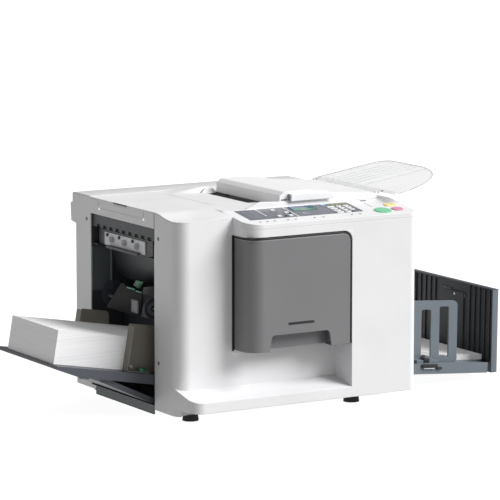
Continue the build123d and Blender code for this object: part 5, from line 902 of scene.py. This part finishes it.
@dataclass
class DrumDoor:
    """Dark slot of the drum door, a black band along its top edge and right side that is painted shadow of the
    gap, and a pale strip inside that band that is a painted highlight on the edge.
    """

    shop: Shop
    left: float = 160.0
    right: float = 458.0
    top: float = 463.5
    low: float = 178.0
    round_left: float = 43.0
    round_right: float = 22.0
    back: float = 74.0
    proud: float = 0.2
    rim: float = 0.15
    shadow_width: float = 4.2
    highlight_width: float = 2.0

    def build(self) -> None:
        """Adds the door's detail."""
        self.slot()
        # Black band along the door's top edge: painted shadow of the gap above it.
        shadow_low = self.top - self.shadow_width
        self.band("door_band_top", RUBBER_AND_SHADOW, shadow_low, self.top - self.proud)
        # Pale strip under the band: painted highlight on the door's rounded top edge.
        self.band("door_bevel_top", DOOR_HIGHLIGHT, shadow_low - self.highlight_width, shadow_low)
        # The same painted shadow round the upper right corner and down the right side.
        self.corner("door_band_corner", RUBBER_AND_SHADOW, 0.0, self.shadow_width, 2.4)
        # The same painted highlight round the corner and down the right side.
        self.corner("door_bevel_corner", DOOR_HIGHLIGHT, self.shadow_width, self.highlight_width, 1.2)

    def slot(self) -> None:
        """Dark slot with round ends, low on the door."""
        left, right, z, radius = 275.4, 346.6, 242.2, 3.4
        turns = steps_round(15.0, 13)
        outline = [(right + radius * math.sin(a), z - radius * math.cos(a)) for a in turns]
        outline += [(left - radius * math.sin(a), z + radius * math.cos(a)) for a in turns]
        piece = self.shop.prism(Axis.Y, outline, -self.proud, 0.8)
        self.shop.hand_over(piece, "door_badge_slot", "drum_door", RUBBER_AND_SHADOW, soft=self.rim, steps=2)

    def band(self, name: str, finish: Finish, low: float, high: float) -> None:
        """Strip that follows the door's front and its rounded left side.

        Args:
            name: Piece name.
            finish: Its finish.
            low: Lower Z.
            high: Upper Z.
        """
        cx, cy = self.left + self.round_left, self.round_left
        paths = []
        for reach in (self.round_left + self.proud, self.round_left - 1.0):
            arc = [(cx - reach * math.sin(turn), cy - reach * math.cos(turn)) for turn in steps_round(6.0, 16)]
            paths.append([(self.right - self.round_right, cy - reach)] + arc + [(cx - reach, self.back)])
        strip = self.shop.prism(Axis.Z, paths[0] + paths[1][::-1], low, high)
        self.shop.hand_over(strip, name, "drum_door", finish, soft=self.rim, steps=2)

    def corner(self, name: str, finish: Finish, inset: float, top: float, side: float) -> None:
        """Strip round the door's upper right corner and down its right side.

        Args:
            name: Piece name.
            finish: Its finish.
            inset: Distance of its outer line from the door's edge at the top.
            top: Width at the top.
            side: Width at the side.
        """
        edge = self.proud + inset
        over = edge * side / top
        cx, cz = self.right - self.round_right, self.top - self.round_right
        outer, inner = [], []
        for turn in steps_round(6.0, 16):
            share = math.sin(turn)
            near = self.round_right - (edge * share + over * (1.0 - share))
            far = near - (top * share + side * (1.0 - share))
            outer.append((cx + near * math.cos(turn), cz + near * math.sin(turn)))
            inner.append((cx + far * math.cos(turn), cz + far * math.sin(turn)))
        ends = [(outer[0][0], self.low), (inner[0][0], self.low)]
        strip = self.shop.prism(Axis.Y, outer[::-1] + ends + inner, -self.proud, 1.0)
        self.shop.hand_over(strip, name, "drum_door", finish, soft=self.rim, steps=2)


@dataclass
class FeedSide:
    """Card, bay fittings and tray detail on the left."""

    shop: Shop
    axle_x: float = 52.0
    axle_z: float = 256.0
    wheel_y: float = 300.8
    scoop_centre: Spot = (58.0, 262.0)
    scoop_reach: Spot = (28.0, 34.0)

    def build(self) -> None:
        """Adds the feed side's pieces."""
        self.label()
        self.bay_fittings()
        self.tray_details()

    def label(self) -> None:
        """White card with dark ovals and plain grey blocks on the disposal box's face."""
        self.shop.plate("box_card", "disposal_box", MARK_WHITE, (15.2, 275.0, 400.6), (16.1, 492.0, 434.5),
                        corner=2.5, along=Axis.X)
        for index, y in enumerate((476.4, 413.2, 340.7)):
            self.shop.plate(f"box_card_oval_{index + 1}", "disposal_box", MARK_DARK, (14.9, y - 3.6, 423.4),
                            (15.4, y + 3.6, 432.2), corner=3.4, along=Axis.X)
        for index, y in enumerate((452.0, 384.0, 317.0)):
            self.shop.plate(f"box_card_block_{index + 1}", "disposal_box", MARK_PALE, (15.0, y - 9.0, 411.0),
                            (15.35, y + 9.0, 425.0), corner=5.0, along=Axis.X)
            self.shop.plate(f"box_card_core_{index + 1}", "disposal_box", MARK_GREY_AND_SHADE, (14.8, y - 3.0, 414.0),
                            (15.1, y + 1.0, 422.0), corner=1.6, along=Axis.X)

    def bay_fittings(self) -> None:
        """Shaft collar, wedge-shaped feed arm with its face, levers and the scoop inside the bay."""
        shaft = self.shop.rod((self.axle_x, 452.0, self.axle_z), Axis.Y, 8.0, 12.0)
        self.shop.hand_over(shaft, "pickup_collar", "pickup_roller", BAY, soft=0.8)
        arm = self.shop.prism(Axis.X, ((494.0, 234.5), (314.0, 234.5), (300.5, 290.0), (300.5, 301.5),
                                       (386.0, 305.5), (395.0, 311.0), (414.0, 308.5)), 18.0, 21.5)
        self.shop.hand_over(arm, "feed_arm", "machine", ARM_BLACK, soft=1.2)
        self.shop.plate("arm_face", "machine", PAD, (15.4, 317.0, 243.5), (18.6, 351.0, 277.5), corner=5.0,
                        along=Axis.X, soft=0.8)
        greens = (("bay_green_bar", (48.0, 541.2, 287.5), (82.0, 543.6, 292.5), 0.8),
                  ("arm_green_strip", (16.6, 337.0, 301.4), (18.4, 378.0, 305.6), 0.7),
                  ("arm_green_tab", (16.6, 299.5, 299.0), (18.4, 331.0, 302.6), 0.7))
        for name, low, high, soft in greens:
            self.shop.plate(name, "machine", LEVER, low, high, soft=soft)
        flap = self.shop.prism(Axis.X, ((390.0, 318.3), (405.0, 302.4), (371.0, 297.0), (351.0, 317.5)),
                               49.8, 52.2)
        self.shop.hand_over(flap, "pressure_flap", "feed_pressure_lever", LEVER, soft=0.9)
        self.cheek()
        self.wheel()

    def cheek(self) -> None:
        """Grey plate on the dark bay's rear cheek, painted light for the light that reaches it, and the rounded
        blue scoop on that cheek.
        """
        self.shop.plate("rear_cheek_plate", "machine", CHEEK_LIT, (3.0, 542.2, 272.0), (60.0, 543.4, 392.0),
                        corner=6.0, along=Axis.Y, soft=0.3)
        (x, z), (wide, high) = self.scoop_centre, self.scoop_reach
        rim = [(x - wide * math.sin(turn), z + high * math.cos(turn)) for turn in steps_round(15.0, 12)]
        scoop = self.shop.prism(Axis.Y, rim + [(60.0, 226.0), (88.0, 284.0), (84.0, 296.0)], 539.4, 542.2)
        self.shop.hand_over(scoop, "cheek_scoop", "machine", SCOOP, soft=0.8)

    def wheel(self) -> None:
        """Hub and rings on the near end of the pickup roller."""
        for name, radius, reach, finish in (("rim", 26.5, 0.8, SCOOP), ("web", 18.0, 1.2, CARRIER),
                                            ("hub", 8.0, 2.7, RUBBER_AND_SHADOW), ("pin", 2.2, 3.5, MARK_GREY_AND_SHADE)):
            disc = self.shop.rod((self.axle_x, self.wheel_y, self.axle_z), Axis.Y, radius, -reach, sides=48,
                                 cone=0.97)
            self.shop.hand_over(disc, f"pickup_{name}", "pickup_roller", finish, soft=0.2, steps=2)

    def tray_details(self) -> None:
        """Latch on the support and the round stop on the tray."""
        self.shop.plate("support_latch", "feed_tray", MARK_GREY_AND_SHADE, (-193.0, 240.0, 74.0), (-164.0, 243.6, 79.0),
                        Tilt.FEED, corner=2.0, along=Axis.Y, soft=0.6)
        self.shop.plate("guide_disc", "feed_guide_front", MARK_GREY_AND_SHADE, (-70.0, 211.6, 116.0),
                        (-62.0, 213.6, 124.0), Tilt.FEED, corner=3.8, along=Axis.Y, soft=0.5)


@dataclass
class ScannerLid:
    """Painted shade on the lid block's end, painted shadow in the gap under the lid's front, the hood's slit,
    and the clear tray's lines.
    """

    shop: Shop
    pivot_x: float = 631.0
    pivot_z: float = 536.0
    tray_front: float = 70.0
    tray_back: float = 465.0
    tray_length: float = 234.0
    root: float = 4.3
    nose: float = 212.0
    corner: float = 40.0
    sheet: float = 2.5
    rib_places: tuple[float, ...] = (245.0, 290.0, 318.0, 345.0, 372.0, 400.0)

    def build(self) -> None:
        """Adds the lid's and the clear tray's detail."""
        # Grey plate on the block's end face: painted shade.
        self.shop.plate("lid_block_end", "feeder_lid", MARK_GREY_AND_SHADE, (355.5, 124.6, 533.6), (356.6, 138.6, 549.6),
                        corner=3.0, along=Axis.X, soft=0.3)
        # Dark strip low on the lid's front beside the block: painted shadow in the gap under it.
        self.shop.plate("lid_front_notch", "feeder_lid", SEAM_AND_SHADOW, (334.0, 138.9, 533.5), (353.0, 140.5, 537.0),
                        corner=1.2, along=Axis.Y, soft=0.3)
        slit = self.shop.prism(Axis.Y, ((281.6, 520.6), (284.2, 520.6), (295.6, 530.8), (293.0, 530.8)),
                               459.4, 461.0)
        self.shop.hand_over(slit, "hood_slit", "machine", SEAM_DARK, soft=0.2, steps=2)
        self.edge()
        self.ribs()

    def curve_y(self, x: float) -> float:
        """Front edge of the clear sheet, on the arc from its root through the bend to its nose.

        Args:
            x: Machine X.

        Returns:
            Machine Y of the sheet's front edge.
        """
        start = self.pivot_x + self.root
        span = self.tray_length - self.root
        (bx, by), (ex, ey) = (span * 0.74, self.nose * 0.38), (span, self.nose)
        cross = 2.0 * (bx * ey - ex * by)
        bend, end = bx ** 2 + by ** 2, ex ** 2 + ey ** 2
        cx = (bend * ey - end * by) / cross
        cy = (end * bx - bend * ex) / cross
        radius = math.hypot(cx, cy)
        return self.tray_front + cy - math.sqrt(max(0.0, radius ** 2 - (x - start - cx) ** 2))

    def edge(self) -> None:
        """Thin tube along the outline of the clear sheet."""
        start, end = self.pivot_x + self.root, self.pivot_x + self.tray_length
        steps = 24
        along = (start + (end - start) * i / steps for i in range(1, steps + 1))
        points = [(x, self.curve_y(x)) for x in along]
        x, y = end - self.corner, self.tray_back - self.corner
        points += [(x + self.corner * math.cos(turn), y + self.corner * math.sin(turn))
                   for turn in steps_round(15.0, 7)]
        points.append((start + 8.0, self.tray_back))
        tube = self.shop.tube([(x, y, self.pivot_z) for x, y in points], 1.15)
        self.shop.hand_over(tube, "clear_tray_edge", "original_tray", CLEAR_EDGE, Tilt.CLEAR)

    def ribs(self) -> None:
        """Faint lengthwise ribs, two hinge lines and a dark stop."""
        top = self.pivot_z + self.sheet / 2
        for index, y in enumerate(self.rib_places):
            self.shop.plate(f"clear_tray_rib_{index + 1}", "original_tray", CLEAR_RIB,
                            (self.pivot_x + 22.0, y, top - 0.3), (self.pivot_x + 225.0, y + 2.0, top + 0.8),
                            Tilt.CLEAR, soft=0.4)
        for index, x in enumerate((8.0, 16.0)):
            self.shop.plate(f"clear_tray_line_{index + 1}", "original_tray", CLEAR_RIB,
                            (self.pivot_x + x, self.tray_front + 12.0, top - 0.3),
                            (self.pivot_x + x + 1.2, self.tray_back - 6.0, top + 0.5), Tilt.CLEAR, soft=0.3)
        stop = self.shop.rod((638.5, 134.0, top - 0.4), Axis.Z, 3.2, 1.7)
        self.shop.hand_over(stop, "clear_tray_stop", "original_tray", RUBBER_AND_SHADOW, Tilt.CLEAR, soft=0.5)


@dataclass
class DeliverySide:
    """Guide hardware and stopper trim on the right."""

    shop: Shop

    def build(self) -> None:
        """Adds the delivery side's pieces."""
        self.stopper()
        self.lock()

    def stopper(self) -> None:
        """The stopper's rim, its front edge in the paler slate (painted light), and a latch with a pale button
        over two shallow pads; the button glows a little, painted light.
        """
        parts = (("rim", SLATE, (1012.2, 165.2, 269.2), (1030.8, 578.8, 271.0), 0.6),
                 ("edge", SLATE_LIT, (1012.4, 164.6, 46.5), (1030.8, 165.6, 268.8), 0.4),
                 ("clip", SLATE, (1023.6, 352.0, 226.0), (1026.0, 372.0, 238.0), 0.9),
                 ("clip_pad_left", SLATE, (1024.4, 378.0, 233.0), (1026.0, 421.0, 246.0), 0.9),
                 ("clip_pad_right", SLATE, (1024.4, 309.0, 226.0), (1026.0, 344.0, 239.0), 0.9))
        for name, finish, low, high, soft in parts:
            self.shop.plate(f"stopper_{name}", "paper_stopper", finish, low, high, Tilt.STOPPER, soft=soft)
        # The button glows a little: painted light.
        button = self.shop.rod((1023.8, 361.0, 231.5), Axis.X, 2.4, -1.2)
        self.shop.hand_over(button, "stopper_button", "paper_stopper", MARK_GLOWING, Tilt.STOPPER, soft=0.4)

    def lock(self) -> None:
        """Black lock lever of the delivery guides beside the tray's front edge."""
        parts = (("knob", RUBBER_AND_SHADOW, (800.0, 176.0, 73.8), (820.0, 190.0, 86.0), 3.0),
                 ("link", RUBBER_AND_SHADOW, (786.0, 160.0, 62.5), (836.0, 164.6, 72.5), 1.6),
                 ("strip", MARK_PALE, (792.0, 159.6, 59.8), (826.0, 164.4, 62.3), 0.8),
                 ("tip", RUBBER_AND_SHADOW, (834.0, 160.0, 58.0), (850.0, 164.0, 64.5), 1.6))
        for name, finish, low, high, soft in parts:
            self.shop.plate(f"tray_lock_{name}", "machine", finish, low, high, Tilt.DELIVERY, soft=soft)


@dataclass
class Studio:
    """Floor, soft light and the camera of the picture."""

    shop: Shop
    eye: Point = (-3848.88, -6760.76, 1633.86)
    yaw: float = 30.6688
    pitch: float = 8.6463
    lens: float = 230.4
    sensor: float = 36.0
    sight: float = 60.0
    floor_width: float = 40.0
    surround: float = 0.335
    light_toward: Point = (0.55, -0.53, 0.645)
    light_strength: float = 3.98
    light_spread: float = 35.0

    def build(self) -> None:
        """Sets the studio around the machine."""
        self.camera()
        self.floor()
        self.world()
        self.key_light()

    def camera(self) -> None:
        """Long lens a little above the machine, from its front left."""
        data = bpy.data.cameras.new("picture_camera")
        data.lens = self.lens
        data.sensor_width = self.sensor
        data.clip_end = self.sight
        camera = self.shop.bring("picture_camera", data)
        camera.location = self.shop.row(self.eye)
        camera.rotation_euler = (math.radians(90.0 - self.pitch), 0.0, math.radians(-self.yaw))
        bpy.context.scene.camera = camera

    def floor(self) -> None:
        """Plain pale floor."""
        bpy.ops.mesh.primitive_plane_add(size=self.floor_width)
        floor = bpy.context.object
        self.shop.settle(floor)
        floor.name = "floor"
        floor.visible_diffuse = False
        self.shop.paint.coat(floor, FLOOR)

    def world(self) -> None:
        """Even white surround."""
        world = bpy.data.worlds.new("surround")
        world.use_nodes = True
        back = world.node_tree.nodes["Background"]
        back.inputs["Color"].default_value = (1.0, 1.0, 1.0, 1.0)
        back.inputs["Strength"].default_value = self.surround
        bpy.context.scene.world = world
        bpy.context.scene.view_settings.view_transform = "Standard"

    def key_light(self) -> None:
        """Distant soft light from the upper right of the front."""
        data = bpy.data.lights.new("key", "SUN")
        data.energy = self.light_strength
        data.angle = math.radians(self.light_spread)
        light = self.shop.bring("key", data)
        light.rotation_euler = Vector(self.light_toward).to_track_quat("Z", "Y").to_euler()


def dress_nodes(nodes: dict[str, Piece], paint: Paint) -> None:
    """Gives every CAD node its finish.

    Args:
        nodes: CAD nodes by name.
        paint: Materials.
    """
    finishes = {name: finish for finish, names in FINISHED_NODES.items() for name in names}
    for name, node in nodes.items():
        finish = finishes.get(name, KEY_WHITE)
        for slot in node.material_slots:
            slot.material = paint.of(finish)
        if not node.material_slots:
            node.data.materials.append(paint.of(finish))
        LOG.info("%s finished as %s", name, finish.name)


def main() -> None:
    """Loads the frame and builds every sub-assembly in order."""
    logging.basicConfig(level=logging.INFO, format="%(message)s")
    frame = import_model()
    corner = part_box("front_cover")[0]
    shop = Shop(Paint(), Vector((corner.x, corner.y, 0.0)))
    dress_nodes(frame["nodes"], shop.paint)
    Studio(shop).build()
    builders = (Casing(shop), ControlPanel(shop), DrumDoor(shop), FeedSide(shop), ScannerLid(shop),
                DeliverySide(shop))
    for builder in builders:
        builder.build()
        LOG.info("%s done", type(builder).__name__)


if __name__ == "__main__":
    main()
